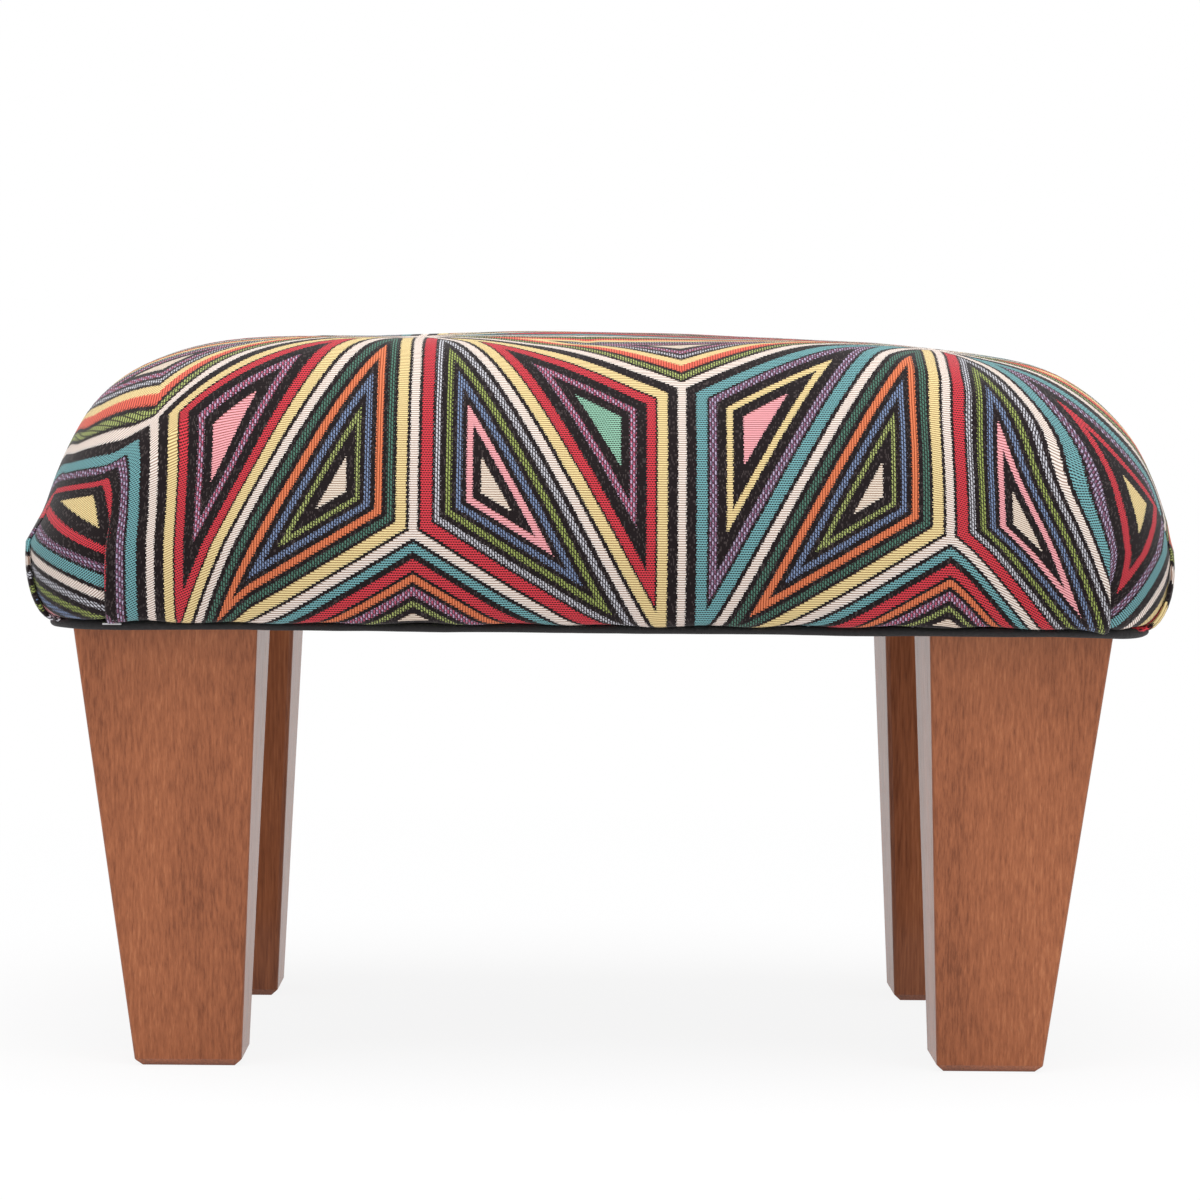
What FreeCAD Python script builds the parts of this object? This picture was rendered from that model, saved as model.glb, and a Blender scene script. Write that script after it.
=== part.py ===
# Upholstered footstool: a padded seat in a woven cover, on four tapered wooden legs.
# Millimetres. +Z is up and the floor is Z = 0. +X runs along the stool, and -Y is its front.
# The origin is on the floor, midway between the legs.

import FreeCAD
import Part

import math
import os

# Seat as upholstered
SEAT_LENGTH = 383.0
SEAT_DEPTH = 286.0
SEAT_THICKNESS = 99.0
SEAT_CORNER_RADIUS = 35.0
WIDEST_HEIGHT = 25.0
TUCK_WIDTH = 8.0
END_SLOPE = 0.32
END_SHOULDER = 105.0
END_FULLNESS = 4.1
FRONT_SLOPE = 0.08
FRONT_SHOULDER = 45.0
FRONT_FULLNESS = 2.2
CROWN_CORNER_RADIUS = 72.0
CROWN_RISE = 5.2

# Folded pleats either side of each corner of the cover
PLEAT_FROM_CORNER = 29.0
PLEAT_WIDTH = 17.0
PLEAT_HEIGHT = 44.0
PLEAT_PROUD = 1.1

# Soft layers, from the outside in
COVER_THICKNESS = 1.2
COVER_TURN_UNDER = 30.0
WADDING_THICKNESS = 6.0
WADDING_STOPS_ABOVE = 9.0
LAYER_GAP = 0.2

# Dust cover under the seat
DUST_COVER_THICKNESS = 0.5
HEM_SETBACK = 8.5
HEM_LEG_CLEARANCE = 1.5
HEM_DROP = 2.8
HEM_ROUND = 0.9

# Wooden seat frame
FRAME_SETBACK = 10.5
CORNER_EASE = 4.0
RAIL_THICKNESS = 20.0
RAIL_HEIGHT = 34.0
DECK_THICKNESS = 6.0
BLOCK_HEIGHT = 28.0

# Legs
LEG_HEIGHT = 150.0
LEG_TOP_WIDTH = 61.0
LEG_OUTER_LEAN = 19.5
LEG_INNER_LEAN = 6.0
LEG_SETBACK = 20.0
LEG_EDGE_ROUND = 1.6
SOLE_CHAMFER = 2.4

# Leg fixings
BOLT_DIAMETER = 8.0
BOLT_DEPTH_IN_LEG = 34.0
BOLT_POINT = 7.0
BOLT_CLEARANCE = 0.5
TEE_BARREL_DIAMETER = 10.0
TEE_BARREL_LENGTH = 9.0
TEE_FLANGE_DIAMETER = 22.0
TEE_FLANGE_THICKNESS = 1.5
TEE_PRONG_LENGTH = 7.0
TEE_PRONG_WIDTH = 3.0
TEE_PRONG_COUNT = 4

# Frame fixings
DOWEL_DIAMETER = 8.0
DOWEL_LENGTH = 36.0
DOWEL_COVER = 4.0
DOWEL_HEIGHTS = (0.34, 0.76)
DOWEL_FROM_INNER_FACE = 7.5
DOWEL_HOLE_SPARE = 1.0
DOWEL_END_CHAMFER = 0.8
BLOCK_SCREW_DIAMETER = 4.0
BLOCK_SCREW_LENGTH = 45.0
BLOCK_SCREW_OFFSET = 13.0
DECK_SCREW_DIAMETER = 3.5
DECK_SCREW_LENGTH = 25.0
DECK_SCREW_SPACING = 110.0
SCREW_POINT = 4.0
HEAD_RATIO = 2.0

# Staples
STAPLE_WIRE = 0.7
STAPLE_CROWN = 10.0
STAPLE_LEG = 8.0
COVER_STAPLE_SPACING = 30.0
COVER_STAPLE_FROM_RAIL_EDGE = 6.0
DUST_STAPLE_SPACING = 45.0

# Levels
SEAT_UNDERSIDE = LEG_HEIGHT + DUST_COVER_THICKNESS
SEAT_TOP = SEAT_UNDERSIDE + SEAT_THICKNESS
WIDEST_LEVEL = SEAT_UNDERSIDE + WIDEST_HEIGHT
FRAME_UNDERSIDE = SEAT_UNDERSIDE + COVER_THICKNESS
RAIL_TOP = FRAME_UNDERSIDE + RAIL_HEIGHT
DECK_TOP = RAIL_TOP + DECK_THICKNESS
BLOCK_TOP = FRAME_UNDERSIDE + BLOCK_HEIGHT

# Half sizes in plan
SEAT_X = SEAT_LENGTH / 2
SEAT_Y = SEAT_DEPTH / 2
FRAME_X = SEAT_X - FRAME_SETBACK
FRAME_Y = SEAT_Y - FRAME_SETBACK
RAIL_INNER_X = FRAME_X - RAIL_THICKNESS
RAIL_INNER_Y = FRAME_Y - RAIL_THICKNESS
FRAME_CORNER_RADIUS = SEAT_CORNER_RADIUS - FRAME_SETBACK + CORNER_EASE
HEM_WIDTH = LEG_SETBACK - HEM_SETBACK - HEM_LEG_CLEARANCE
BOLT_X = SEAT_X - LEG_SETBACK - LEG_TOP_WIDTH / 2
BOLT_Y = SEAT_Y - LEG_SETBACK - LEG_TOP_WIDTH / 2

# Angles up the shoulder and under the tuck where the seat's outline is drawn
SHOULDER_END = 83.0
SHOULDER_STEPS = 5
TUCK_STEPS = 3
CROWN_SHARES = (0.72, 0.42)

CORNERS = {
    "front_left": (-1, -1),
    "front_right": (1, -1),
    "rear_left": (-1, 1),
    "rear_right": (1, 1),
}

# How far each leg is turned about its bolt, so that its leaning faces look outwards
LEG_TURNS = {(1, -1): 0, (1, 1): 90, (-1, 1): 180, (-1, -1): 270}

UP = FreeCAD.Vector(0, 0, 1)


def point(x, y, z):
    return FreeCAD.Vector(x, y, z)


# Plain building blocks


def box_between(low, high):
    """A box from one corner to the opposite one."""
    size = [high[i] - low[i] for i in range(3)]
    return Part.makeBox(size[0], size[1], size[2], point(*low))


def rounded_rectangle(half_x, half_y, radius, level):
    """A closed outline with round corners, drawn anticlockwise at one level."""
    edges = []
    diagonal = radius * math.sqrt(0.5)
    inner_x = half_x - radius
    inner_y = half_y - radius
    for sx, sy in ((1, 1), (-1, 1), (-1, -1), (1, -1)):
        centre_x = sx * inner_x
        centre_y = sy * inner_y
        on_end = point(sx * half_x, centre_y, level)
        on_side = point(centre_x, sy * half_y, level)
        middle = point(centre_x + sx * diagonal, centre_y + sy * diagonal, level)
        first, last = (on_end, on_side) if sx * sy > 0 else (on_side, on_end)
        if edges:
            edges.append(Part.LineSegment(edges[-1].EndPoint, first))
        edges.append(Part.Arc(first, middle, last))
    edges.append(Part.LineSegment(edges[-1].EndPoint, edges[0].StartPoint))
    return Part.Wire([edge.toShape() for edge in edges])


def rounded_plate(half_x, half_y, radius, low, high):
    """A flat plate with round corners between two levels."""
    outline = Part.Face(rounded_rectangle(half_x, half_y, radius, low))
    return outline.extrude(UP * (high - low))


def group(solids):
    return Part.makeCompound(solids)


# The seat's rounded form

SHOULDER_HEIGHT = SEAT_TOP - CROWN_RISE - WIDEST_LEVEL


def reach_in(share, slope, width, fullness):
    """How far a side has come in at a share of the shoulder's height: it slopes, then rolls over."""
    return slope * SHOULDER_HEIGHT * share + width * (1 - (1 - share**fullness) ** (1 / fullness))


def shoulder_outline(angle, inset):
    """The seat's outline at an angle up its shoulder, for a layer set in from the cover's face."""
    share = math.sin(math.radians(angle))
    lean = 1 - math.cos(math.radians(angle))
    level = WIDEST_LEVEL + (SHOULDER_HEIGHT - inset) * share
    half_x = SEAT_X - inset - reach_in(share, END_SLOPE, END_SHOULDER - inset, END_FULLNESS)
    half_y = SEAT_Y - inset - reach_in(share, FRONT_SLOPE, FRONT_SHOULDER - inset, FRONT_FULLNESS)
    radius = SEAT_CORNER_RADIUS - inset + (CROWN_CORNER_RADIUS - SEAT_CORNER_RADIUS) * lean
    return half_x, half_y, radius, level


def shoulder_outlines(first_angle, inset):
    """Outlines up the shoulder from an angle, then over the crown."""
    step = (SHOULDER_END - first_angle) / SHOULDER_STEPS
    outlines = [shoulder_outline(first_angle + step * i, inset) for i in range(SHOULDER_STEPS + 1)]
    half_x, half_y, radius, level = outlines[-1]
    for share in CROWN_SHARES:
        crown = CROWN_RISE * (1 - share * share)
        outlines.append((half_x * share, half_y * share, radius * share, level + crown))
    return outlines


def tuck_outlines(inset):
    """Outlines from the underside up to the widest line, where the cover turns in under the frame."""
    outlines = []
    for step in range(TUCK_STEPS):
        angle = math.radians(90 * (1 - step / TUCK_STEPS))
        turn_in = (TUCK_WIDTH - inset) * (1 - math.cos(angle))
        level = WIDEST_LEVEL - (WIDEST_HEIGHT - inset) * math.sin(angle)
        half_x = SEAT_X - inset - turn_in
        half_y = SEAT_Y - inset - turn_in
        outlines.append((half_x, half_y, SEAT_CORNER_RADIUS - inset - turn_in / 2, level))
    return outlines


def loft(outlines):
    return Part.makeLoft([rounded_rectangle(*outline) for outline in outlines], True, False)


def seat_form(inset):
    """The whole upholstered shape, set in from the cover's face."""
    return loft(tuck_outlines(inset) + shoulder_outlines(0.0, inset))


def padding_form(inset):
    """The part of the upholstered shape above the deck, set in from the cover's face."""
    share = (DECK_TOP - WIDEST_LEVEL) / (SHOULDER_HEIGHT - inset)
    return loft(shoulder_outlines(math.degrees(math.asin(share)), inset))


# Soft pieces


def pleat_wedge(fold, tail, outwards):
    """A tall wedge that holds one pleat: its upright edge is the fold, and it widens downwards to its tail."""
    corners = [fold + UP * (SEAT_UNDERSIDE + PLEAT_HEIGHT), fold + UP * SEAT_UNDERSIDE, tail + UP * SEAT_UNDERSIDE]
    return Part.Face(Part.makePolygon([*corners, corners[0]])).extrude(outwards)


def corner_pleats():
    """Where the cloth of a side is folded over the cloth of the corner, on both sides of every corner."""
    fold_x = SEAT_X - PLEAT_FROM_CORNER
    fold_y = SEAT_Y - PLEAT_FROM_CORNER
    wedges = []
    for sx, sy in CORNERS.values():
        on_long_side = point(sx * fold_x, 0, 0)
        on_end = point(0, sy * fold_y, 0)
        to_middle_x = point(-sx * PLEAT_WIDTH, 0, 0)
        to_middle_y = point(0, -sy * PLEAT_WIDTH, 0)
        wedges.append(pleat_wedge(on_long_side, on_long_side + to_middle_x, point(0, sy * SEAT_DEPTH, 0)))
        wedges.append(pleat_wedge(on_end, on_end + to_middle_y, point(sx * SEAT_LENGTH, 0, 0)))
    return seat_form(-PLEAT_PROUD).common(group(wedges))


def seat_cover(staple_slots):
    """The woven cover: a shell pulled down over the seat, pleated at the corners and turned under the frame."""
    shell = seat_form(0.0).fuse(corner_pleats()).cut(seat_form(COVER_THICKNESS))
    open_x = SEAT_X - TUCK_WIDTH - COVER_TURN_UNDER
    open_y = SEAT_Y - TUCK_WIDTH - COVER_TURN_UNDER
    opening = box_between(
        (-open_x, -open_y, SEAT_UNDERSIDE - COVER_THICKNESS),
        (open_x, open_y, FRAME_UNDERSIDE + COVER_THICKNESS),
    )
    return shell.cut(opening).cut(staple_slots)


def wadding_layer():
    """Soft wadding over the foam and down the outside of the rails."""
    outer = COVER_THICKNESS + LAYER_GAP
    blanket = seat_form(outer)
    padding = padding_form(outer + WADDING_THICKNESS)
    frame_space = rounded_plate(
        FRAME_X + LAYER_GAP,
        FRAME_Y + LAYER_GAP,
        FRAME_CORNER_RADIUS + LAYER_GAP,
        SEAT_UNDERSIDE,
        DECK_TOP,
    )
    below_edge = box_between(
        (-SEAT_X, -SEAT_Y, SEAT_UNDERSIDE),
        (SEAT_X, SEAT_Y, FRAME_UNDERSIDE + WADDING_STOPS_ABOVE),
    )
    return blanket.cut(padding).cut(frame_space).cut(below_edge)


def foam_pad():
    """The block of foam glued on the deck, rounded over at the shoulders."""
    return padding_form(COVER_THICKNESS + WADDING_THICKNESS + 2 * LAYER_GAP)


def dust_cover(bolt_holes, staple_slots):
    """The black cloth under the seat, with its folded hem standing down around the edge."""
    half_x = SEAT_X - HEM_SETBACK
    half_y = SEAT_Y - HEM_SETBACK
    radius = SEAT_CORNER_RADIUS - HEM_SETBACK + CORNER_EASE
    sheet = rounded_plate(half_x, half_y, radius, LEG_HEIGHT, SEAT_UNDERSIDE)
    hem = rounded_plate(half_x, half_y, radius, SEAT_UNDERSIDE - HEM_DROP, SEAT_UNDERSIDE)
    inside_hem = rounded_plate(
        half_x - HEM_WIDTH,
        half_y - HEM_WIDTH,
        radius - HEM_WIDTH,
        SEAT_UNDERSIDE - HEM_DROP,
        LEG_HEIGHT,
    )
    lower_edges = [edge for edge in hem.Edges if edge.BoundBox.ZMax < SEAT_UNDERSIDE - HEM_DROP / 2]
    cloth = hem.makeFillet(HEM_ROUND, lower_edges).cut(inside_hem).fuse(sheet).removeSplitter()
    return cloth.cut(bolt_holes).cut(staple_slots)


# Wooden frame


def frame_outline(low, high):
    return rounded_plate(FRAME_X, FRAME_Y, FRAME_CORNER_RADIUS, low, high)


def long_rail(side):
    """The front or rear rail, which runs the whole length of the frame."""
    near = RAIL_INNER_Y if side > 0 else -FRAME_Y
    far = FRAME_Y if side > 0 else -RAIL_INNER_Y
    blank = box_between((-FRAME_X, near, FRAME_UNDERSIDE), (FRAME_X, far, RAIL_TOP))
    return blank.common(frame_outline(FRAME_UNDERSIDE, RAIL_TOP))


def end_rail(side):
    """The left or right rail, which butts between the long rails."""
    near = RAIL_INNER_X if side > 0 else -FRAME_X
    far = FRAME_X if side > 0 else -RAIL_INNER_X
    blank = box_between((near, -RAIL_INNER_Y, FRAME_UNDERSIDE), (far, RAIL_INNER_Y, RAIL_TOP))
    return blank.common(frame_outline(FRAME_UNDERSIDE, RAIL_TOP))


def seat_deck(screws):
    """The plywood deck on top of the rails."""
    return frame_outline(RAIL_TOP, DECK_TOP).cut(screws)


def corner_block(sx, sy, bored):
    """The block glued into a corner of the frame, which takes the leg's bolt."""
    half_x = RAIL_INNER_X - BOLT_X
    half_y = RAIL_INNER_Y - BOLT_Y
    block = box_between(
        (sx * BOLT_X - half_x, sy * BOLT_Y - half_y, FRAME_UNDERSIDE),
        (sx * BOLT_X + half_x, sy * BOLT_Y + half_y, BLOCK_TOP),
    )
    hole = Part.makeCylinder(
        BOLT_DIAMETER / 2 + BOLT_CLEARANCE, BLOCK_HEIGHT, point(sx * BOLT_X, sy * BOLT_Y, FRAME_UNDERSIDE)
    )
    return block.cut(hole).cut(bored)


# Legs and their fixings


def tapered_leg(sx, sy, bored):
    """A square leg whose outer faces lean in strongly and whose inner faces lean out a little."""
    half = LEG_TOP_WIDTH / 2
    outer = half - LEG_OUTER_LEAN
    inner = LEG_INNER_LEAN - half
    sole = [point(outer, -outer, 0), point(inner, -outer, 0), point(inner, -inner, 0), point(outer, -inner, 0)]
    top = [point(x, y, LEG_HEIGHT) for x, y in ((half, -half), (-half, -half), (-half, half), (half, half))]
    sides = [(sole[i], sole[(i + 1) % 4], top[(i + 1) % 4], top[i]) for i in range(4)]
    faces = [Part.Face(Part.makePolygon([*corners, corners[0]])) for corners in [sole, top, *sides]]
    leg = Part.makeSolid(Part.makeShell(faces))
    around_sole = [edge for edge in leg.Edges if edge.BoundBox.ZMax < SOLE_CHAMFER / 2]
    leg = leg.makeChamfer(SOLE_CHAMFER, around_sole)
    uprights = [edge for edge in leg.Edges if edge.BoundBox.ZLength > LEG_HEIGHT / 2]
    leg = leg.makeFillet(LEG_EDGE_ROUND, uprights)
    leg.rotate(point(0, 0, 0), UP, LEG_TURNS[sx, sy])
    leg.translate(point(sx * BOLT_X, sy * BOLT_Y, 0))
    return leg.cut(bored)


def hanger_bolt(sx, sy):
    """A double-ended bolt: a wood point down in the leg, and a plain end up through the tee nut."""
    radius = BOLT_DIAMETER / 2
    tip = LEG_HEIGHT - BOLT_DEPTH_IN_LEG
    shank = tip + BOLT_POINT
    top = BLOCK_TOP + TEE_FLANGE_THICKNESS
    profile = [point(0, 0, tip), point(radius, 0, shank), point(radius, 0, top), point(0, 0, top)]
    face = Part.Face(Part.makePolygon([*profile, profile[0]]))
    bolt = face.revolve(point(0, 0, 0), UP, 360)
    bolt.translate(point(sx * BOLT_X, sy * BOLT_Y, 0))
    return bolt


def tee_nut(sx, sy):
    """A pronged nut: a flange on the block, a barrel down in its bore and prongs driven into the wood."""
    barrel = Part.makeCylinder(
        TEE_BARREL_DIAMETER / 2, TEE_BARREL_LENGTH, point(0, 0, BLOCK_TOP - TEE_BARREL_LENGTH)
    )
    nut = barrel.fuse(Part.makeCylinder(TEE_FLANGE_DIAMETER / 2, TEE_FLANGE_THICKNESS, point(0, 0, BLOCK_TOP)))
    outer = TEE_FLANGE_DIAMETER / 2 - TEE_FLANGE_THICKNESS / 2
    corners = [
        point(outer, -TEE_PRONG_WIDTH / 2, BLOCK_TOP),
        point(outer, TEE_PRONG_WIDTH / 2, BLOCK_TOP),
        point(outer, 0, BLOCK_TOP - TEE_PRONG_LENGTH),
    ]
    prong = Part.Face(Part.makePolygon([*corners, corners[0]])).extrude(point(-TEE_FLANGE_THICKNESS, 0, 0))
    for turn in range(TEE_PRONG_COUNT):
        one = prong.copy()
        one.rotate(point(0, 0, 0), UP, 360 / TEE_PRONG_COUNT * (turn + 0.5))
        nut = nut.fuse(one)
    thread = Part.makeCylinder(
        BOLT_DIAMETER / 2,
        TEE_BARREL_LENGTH + TEE_FLANGE_THICKNESS,
        point(0, 0, BLOCK_TOP - TEE_BARREL_LENGTH),
    )
    nut = nut.cut(thread).removeSplitter()
    nut.translate(point(sx * BOLT_X, sy * BOLT_Y, 0))
    return nut


def bolt_hole_in_dust_cover(sx, sy):
    return Part.makeCylinder(
        BOLT_DIAMETER / 2 + BOLT_CLEARANCE, DUST_COVER_THICKNESS, point(sx * BOLT_X, sy * BOLT_Y, LEG_HEIGHT)
    )


# Frame fixings


def countersunk_screw(diameter, length, head, direction):
    """A wood screw whose flat head is at a point and whose length runs in a direction."""
    radius = diameter / 2
    head_radius = radius * HEAD_RATIO
    profile = [
        point(0, 0, 0),
        point(head_radius, 0, 0),
        point(radius, 0, head_radius - radius),
        point(radius, 0, length - SCREW_POINT),
        point(0, 0, length),
    ]
    screw = Part.Face(Part.makePolygon([*profile, profile[0]])).revolve(point(0, 0, 0), UP, 360)
    screw.Placement = FreeCAD.Placement(head, FreeCAD.Rotation(UP, direction))
    return screw


def block_screws():
    """Two screws into each corner block, one through each rail that it stands against."""
    level = (FRAME_UNDERSIDE + BLOCK_TOP) / 2
    screws = []
    for sx, sy in CORNERS.values():
        through_long = point(sx * (BOLT_X - BLOCK_SCREW_OFFSET), sy * FRAME_Y, level)
        through_end = point(sx * FRAME_X, sy * (BOLT_Y - BLOCK_SCREW_OFFSET), level)
        for head, inward in ((through_long, point(0, -sy, 0)), (through_end, point(-sx, 0, 0))):
            screws.append(countersunk_screw(BLOCK_SCREW_DIAMETER, BLOCK_SCREW_LENGTH, head, inward))
    return screws


def evenly_spaced(half_run, spacing):
    """Places from one end of a run to the other, no further apart than a spacing."""
    gaps = math.ceil(2 * half_run / spacing)
    return [-half_run + 2 * half_run * i / gaps for i in range(gaps + 1)]


def deck_screws():
    """Screws down through the deck along the middle of every rail."""
    middle_x = FRAME_X - RAIL_THICKNESS / 2
    middle_y = FRAME_Y - RAIL_THICKNESS / 2
    heads = []
    for x in evenly_spaced(FRAME_X - FRAME_CORNER_RADIUS - RAIL_THICKNESS, DECK_SCREW_SPACING):
        heads += [point(x, middle_y, DECK_TOP), point(x, -middle_y, DECK_TOP)]
    for y in evenly_spaced(FRAME_Y - FRAME_CORNER_RADIUS - RAIL_THICKNESS, DECK_SCREW_SPACING):
        heads += [point(middle_x, y, DECK_TOP), point(-middle_x, y, DECK_TOP)]
    return [countersunk_screw(DECK_SCREW_DIAMETER, DECK_SCREW_LENGTH, head, UP * -1) for head in heads]


def rail_depth_at(x):
    """How thick a long rail is at a place along it, where its outer corner is rounded."""
    past = max(0.0, x - (FRAME_X - FRAME_CORNER_RADIUS))
    return FRAME_Y - FRAME_CORNER_RADIUS + math.sqrt(FRAME_CORNER_RADIUS**2 - past**2) - RAIL_INNER_Y


def dowel(length, diameter, chamfer):
    """A round peg along +Y, with its ends eased."""
    peg = Part.makeCylinder(diameter / 2, length, point(0, 0, 0), point(0, 1, 0))
    return peg.makeChamfer(chamfer, [edge for edge in peg.Edges if edge.Closed])


def rail_dowels():
    """Two pegs in each corner joint, from the long rail into the end grain of the end rail."""
    x = RAIL_INNER_X + DOWEL_FROM_INNER_FACE
    into_long_rail = rail_depth_at(x) - DOWEL_COVER
    pegs = []
    for sx, sy in CORNERS.values():
        for share in DOWEL_HEIGHTS:
            peg = dowel(DOWEL_LENGTH, DOWEL_DIAMETER, DOWEL_END_CHAMFER)
            peg.translate(point(0, RAIL_INNER_Y + into_long_rail - DOWEL_LENGTH, 0))
            if sy < 0:
                peg.rotate(point(0, 0, 0), UP, 180)
            peg.translate(point(sx * x, 0, FRAME_UNDERSIDE + share * RAIL_HEIGHT))
            pegs.append(peg)
    return pegs


def dowel_holes():
    """The holes that the pegs sit in, a little deeper than the pegs in the end rails."""
    x = RAIL_INNER_X + DOWEL_FROM_INNER_FACE
    into_long_rail = rail_depth_at(x) - DOWEL_COVER
    holes = []
    for sx, sy in CORNERS.values():
        for share in DOWEL_HEIGHTS:
            start = point(sx * x, sy * (RAIL_INNER_Y + into_long_rail), FRAME_UNDERSIDE + share * RAIL_HEIGHT)
            depth = DOWEL_LENGTH + DOWEL_HOLE_SPARE
            holes.append(Part.makeCylinder(DOWEL_DIAMETER / 2, depth, start, point(0, -sy, 0)))
    return holes


# Staples


def staple(x, y, along_x, crown_level):
    """A wire staple driven upwards, with its crown flush with the face of the cloth it holds."""
    half = STAPLE_CROWN / 2
    inner = half - STAPLE_WIRE
    outline = [(-half, 0), (half, 0), (half, STAPLE_LEG), (inner, STAPLE_LEG), (inner, STAPLE_WIRE)]
    outline += [(-inner, STAPLE_WIRE), (-inner, STAPLE_LEG), (-half, STAPLE_LEG)]
    corners = [point(across, -STAPLE_WIRE / 2, up) for across, up in outline]
    wire = Part.Face(Part.makePolygon([*corners, corners[0]])).extrude(point(0, STAPLE_WIRE, 0))
    if not along_x:
        wire.rotate(point(0, 0, 0), UP, 90)
    wire.translate(point(x, y, crown_level))
    return wire


def staples_round_frame(line_x, line_y, spacing, crown_level):
    """Staples along the straight of all four rails."""
    placed = []
    run_x = FRAME_X - FRAME_CORNER_RADIUS
    run_y = FRAME_Y - FRAME_CORNER_RADIUS
    for side in (-1, 1):
        for x in evenly_spaced(run_x, spacing):
            placed.append(staple(x, side * line_y, True, crown_level))
        for y in evenly_spaced(run_y, spacing):
            placed.append(staple(side * line_x, y, False, crown_level))
    return placed


def cover_staples():
    line_x = RAIL_INNER_X + COVER_STAPLE_FROM_RAIL_EDGE
    line_y = RAIL_INNER_Y + COVER_STAPLE_FROM_RAIL_EDGE
    return staples_round_frame(line_x, line_y, COVER_STAPLE_SPACING, SEAT_UNDERSIDE)


def dust_cover_staples():
    line_x = SEAT_X - HEM_SETBACK - HEM_WIDTH / 2
    line_y = SEAT_Y - HEM_SETBACK - HEM_WIDTH / 2
    return staples_round_frame(line_x, line_y, DUST_STAPLE_SPACING, SEAT_UNDERSIDE - HEM_DROP)


def footstool():
    """Every piece of the stool by name."""
    bolts = [hanger_bolt(*corner) for corner in CORNERS.values()]
    nuts = [tee_nut(*corner) for corner in CORNERS.values()]
    pegs = rail_dowels()
    into_blocks = block_screws()
    into_deck = deck_screws()
    under_cover = cover_staples()
    under_hem = dust_cover_staples()
    all_staples = group(under_cover + under_hem)
    rail_bores = group(dowel_holes() + into_blocks + into_deck + under_cover + under_hem)
    pieces = {
        "seat_cover": seat_cover(all_staples),
        "wadding_layer": wadding_layer(),
        "foam_pad": foam_pad(),
        "seat_deck": seat_deck(group(into_deck)),
        "front_rail": long_rail(-1).cut(rail_bores),
        "rear_rail": long_rail(1).cut(rail_bores),
        "left_rail": end_rail(-1).cut(rail_bores),
        "right_rail": end_rail(1).cut(rail_bores),
        "dust_cover": dust_cover(
            group([bolt_hole_in_dust_cover(*corner) for corner in CORNERS.values()]), group(under_hem)
        ),
        "rail_dowels": group(pegs),
        "block_screws": group(into_blocks),
        "deck_screws": group(into_deck),
        "leg_hanger_bolts": group(bolts),
        "leg_tee_nuts": group(nuts),
        "cover_staples": group(under_cover),
        "dust_cover_staples": group(under_hem),
    }
    for name, corner in CORNERS.items():
        pieces["leg_" + name] = tapered_leg(*corner, group(bolts))
        pieces["corner_block_" + name] = corner_block(*corner, group(nuts + into_blocks))
    return pieces


def main():
    os.makedirs("parts", exist_ok=True)
    for name, shape in footstool().items():
        if not shape.isValid():
            raise ValueError(name + " is not a valid solid")
        print(f"{name}: {len(shape.Solids)} solid(s), {shape.Volume / 1000:.2f} cm3")
        shape.exportStep(os.path.join("parts", name + ".step"))


main()
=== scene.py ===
# %% [markdown]
# # A footstool with a woven cover
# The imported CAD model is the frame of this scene: the rails, deck, blocks, legs and fixings come in where
# they belong, in metres. Its cloth and padding come in as plain solids. This lesson keeps the hard pieces,
# gives them finishes, and makes the soft pieces again as cloth and padding.

# %% Load the frame
import math

import bpy
import numpy as np
from mathutils import Matrix, Vector, noise


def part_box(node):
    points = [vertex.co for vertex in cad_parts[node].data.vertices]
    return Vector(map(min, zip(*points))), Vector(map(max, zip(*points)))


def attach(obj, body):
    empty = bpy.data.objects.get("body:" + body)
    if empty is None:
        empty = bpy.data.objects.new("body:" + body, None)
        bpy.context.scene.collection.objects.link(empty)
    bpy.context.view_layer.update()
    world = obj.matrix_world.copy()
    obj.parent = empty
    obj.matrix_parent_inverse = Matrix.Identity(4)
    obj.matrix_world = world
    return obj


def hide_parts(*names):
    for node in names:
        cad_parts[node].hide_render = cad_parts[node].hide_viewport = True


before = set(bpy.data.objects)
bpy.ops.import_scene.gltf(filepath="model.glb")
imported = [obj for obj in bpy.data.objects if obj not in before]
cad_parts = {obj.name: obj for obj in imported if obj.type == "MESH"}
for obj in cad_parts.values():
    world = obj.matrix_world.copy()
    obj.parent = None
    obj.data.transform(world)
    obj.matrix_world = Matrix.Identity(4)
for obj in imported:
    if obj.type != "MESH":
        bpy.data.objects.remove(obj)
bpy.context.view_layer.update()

MM = 0.001
bpy.ops.object.select_all(action="DESELECT")

# %% [markdown]
# ## The camera
# The picture was taken with a long lens from about knee height, a little left of the middle. The places of
# the legs' edges give the distance: the rear legs look smaller than the front ones by the share that a
# camera 1.44 m away sees. The camera sits below the top of the seat, so the crown hides the seat's far
# side.

# %% Place the camera
CAMERA_PLACE = Vector((-11.5, -1444.0, 210.0)) * MM
LENS = 120.7
SENSOR_WIDTH = 36
LOOK_DOWN = 2.25
LOOK_RIGHT = 0.58
ROLL = 0.55

turn = (
    Matrix.Rotation(math.radians(-LOOK_RIGHT), 4, "Z")
    @ Matrix.Rotation(math.radians(90 - LOOK_DOWN), 4, "X")
    @ Matrix.Rotation(math.radians(ROLL), 4, "Z")
)
bpy.ops.object.camera_add(location=CAMERA_PLACE, rotation=turn.to_euler())
camera = bpy.context.object
camera.name = "photo_camera"
camera.data.lens = LENS
camera.data.sensor_width = SENSOR_WIDTH
camera.data.clip_start = 0.05
camera.data.dof.use_dof = False
bpy.context.scene.camera = camera
print("camera lens", camera.data.lens, "at", [round(v, 3) for v in camera.location])

# %% [markdown]
# ## Shader maths
# A finish is a small sum: where am I on the cloth, how far is the nearest edge, which yarn is this. Dozens
# of Math nodes wired by hand are hard to read, so a small class wraps a socket and lets Python's own signs
# add the nodes.

# %% A socket that can be added, compared and mixed


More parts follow.
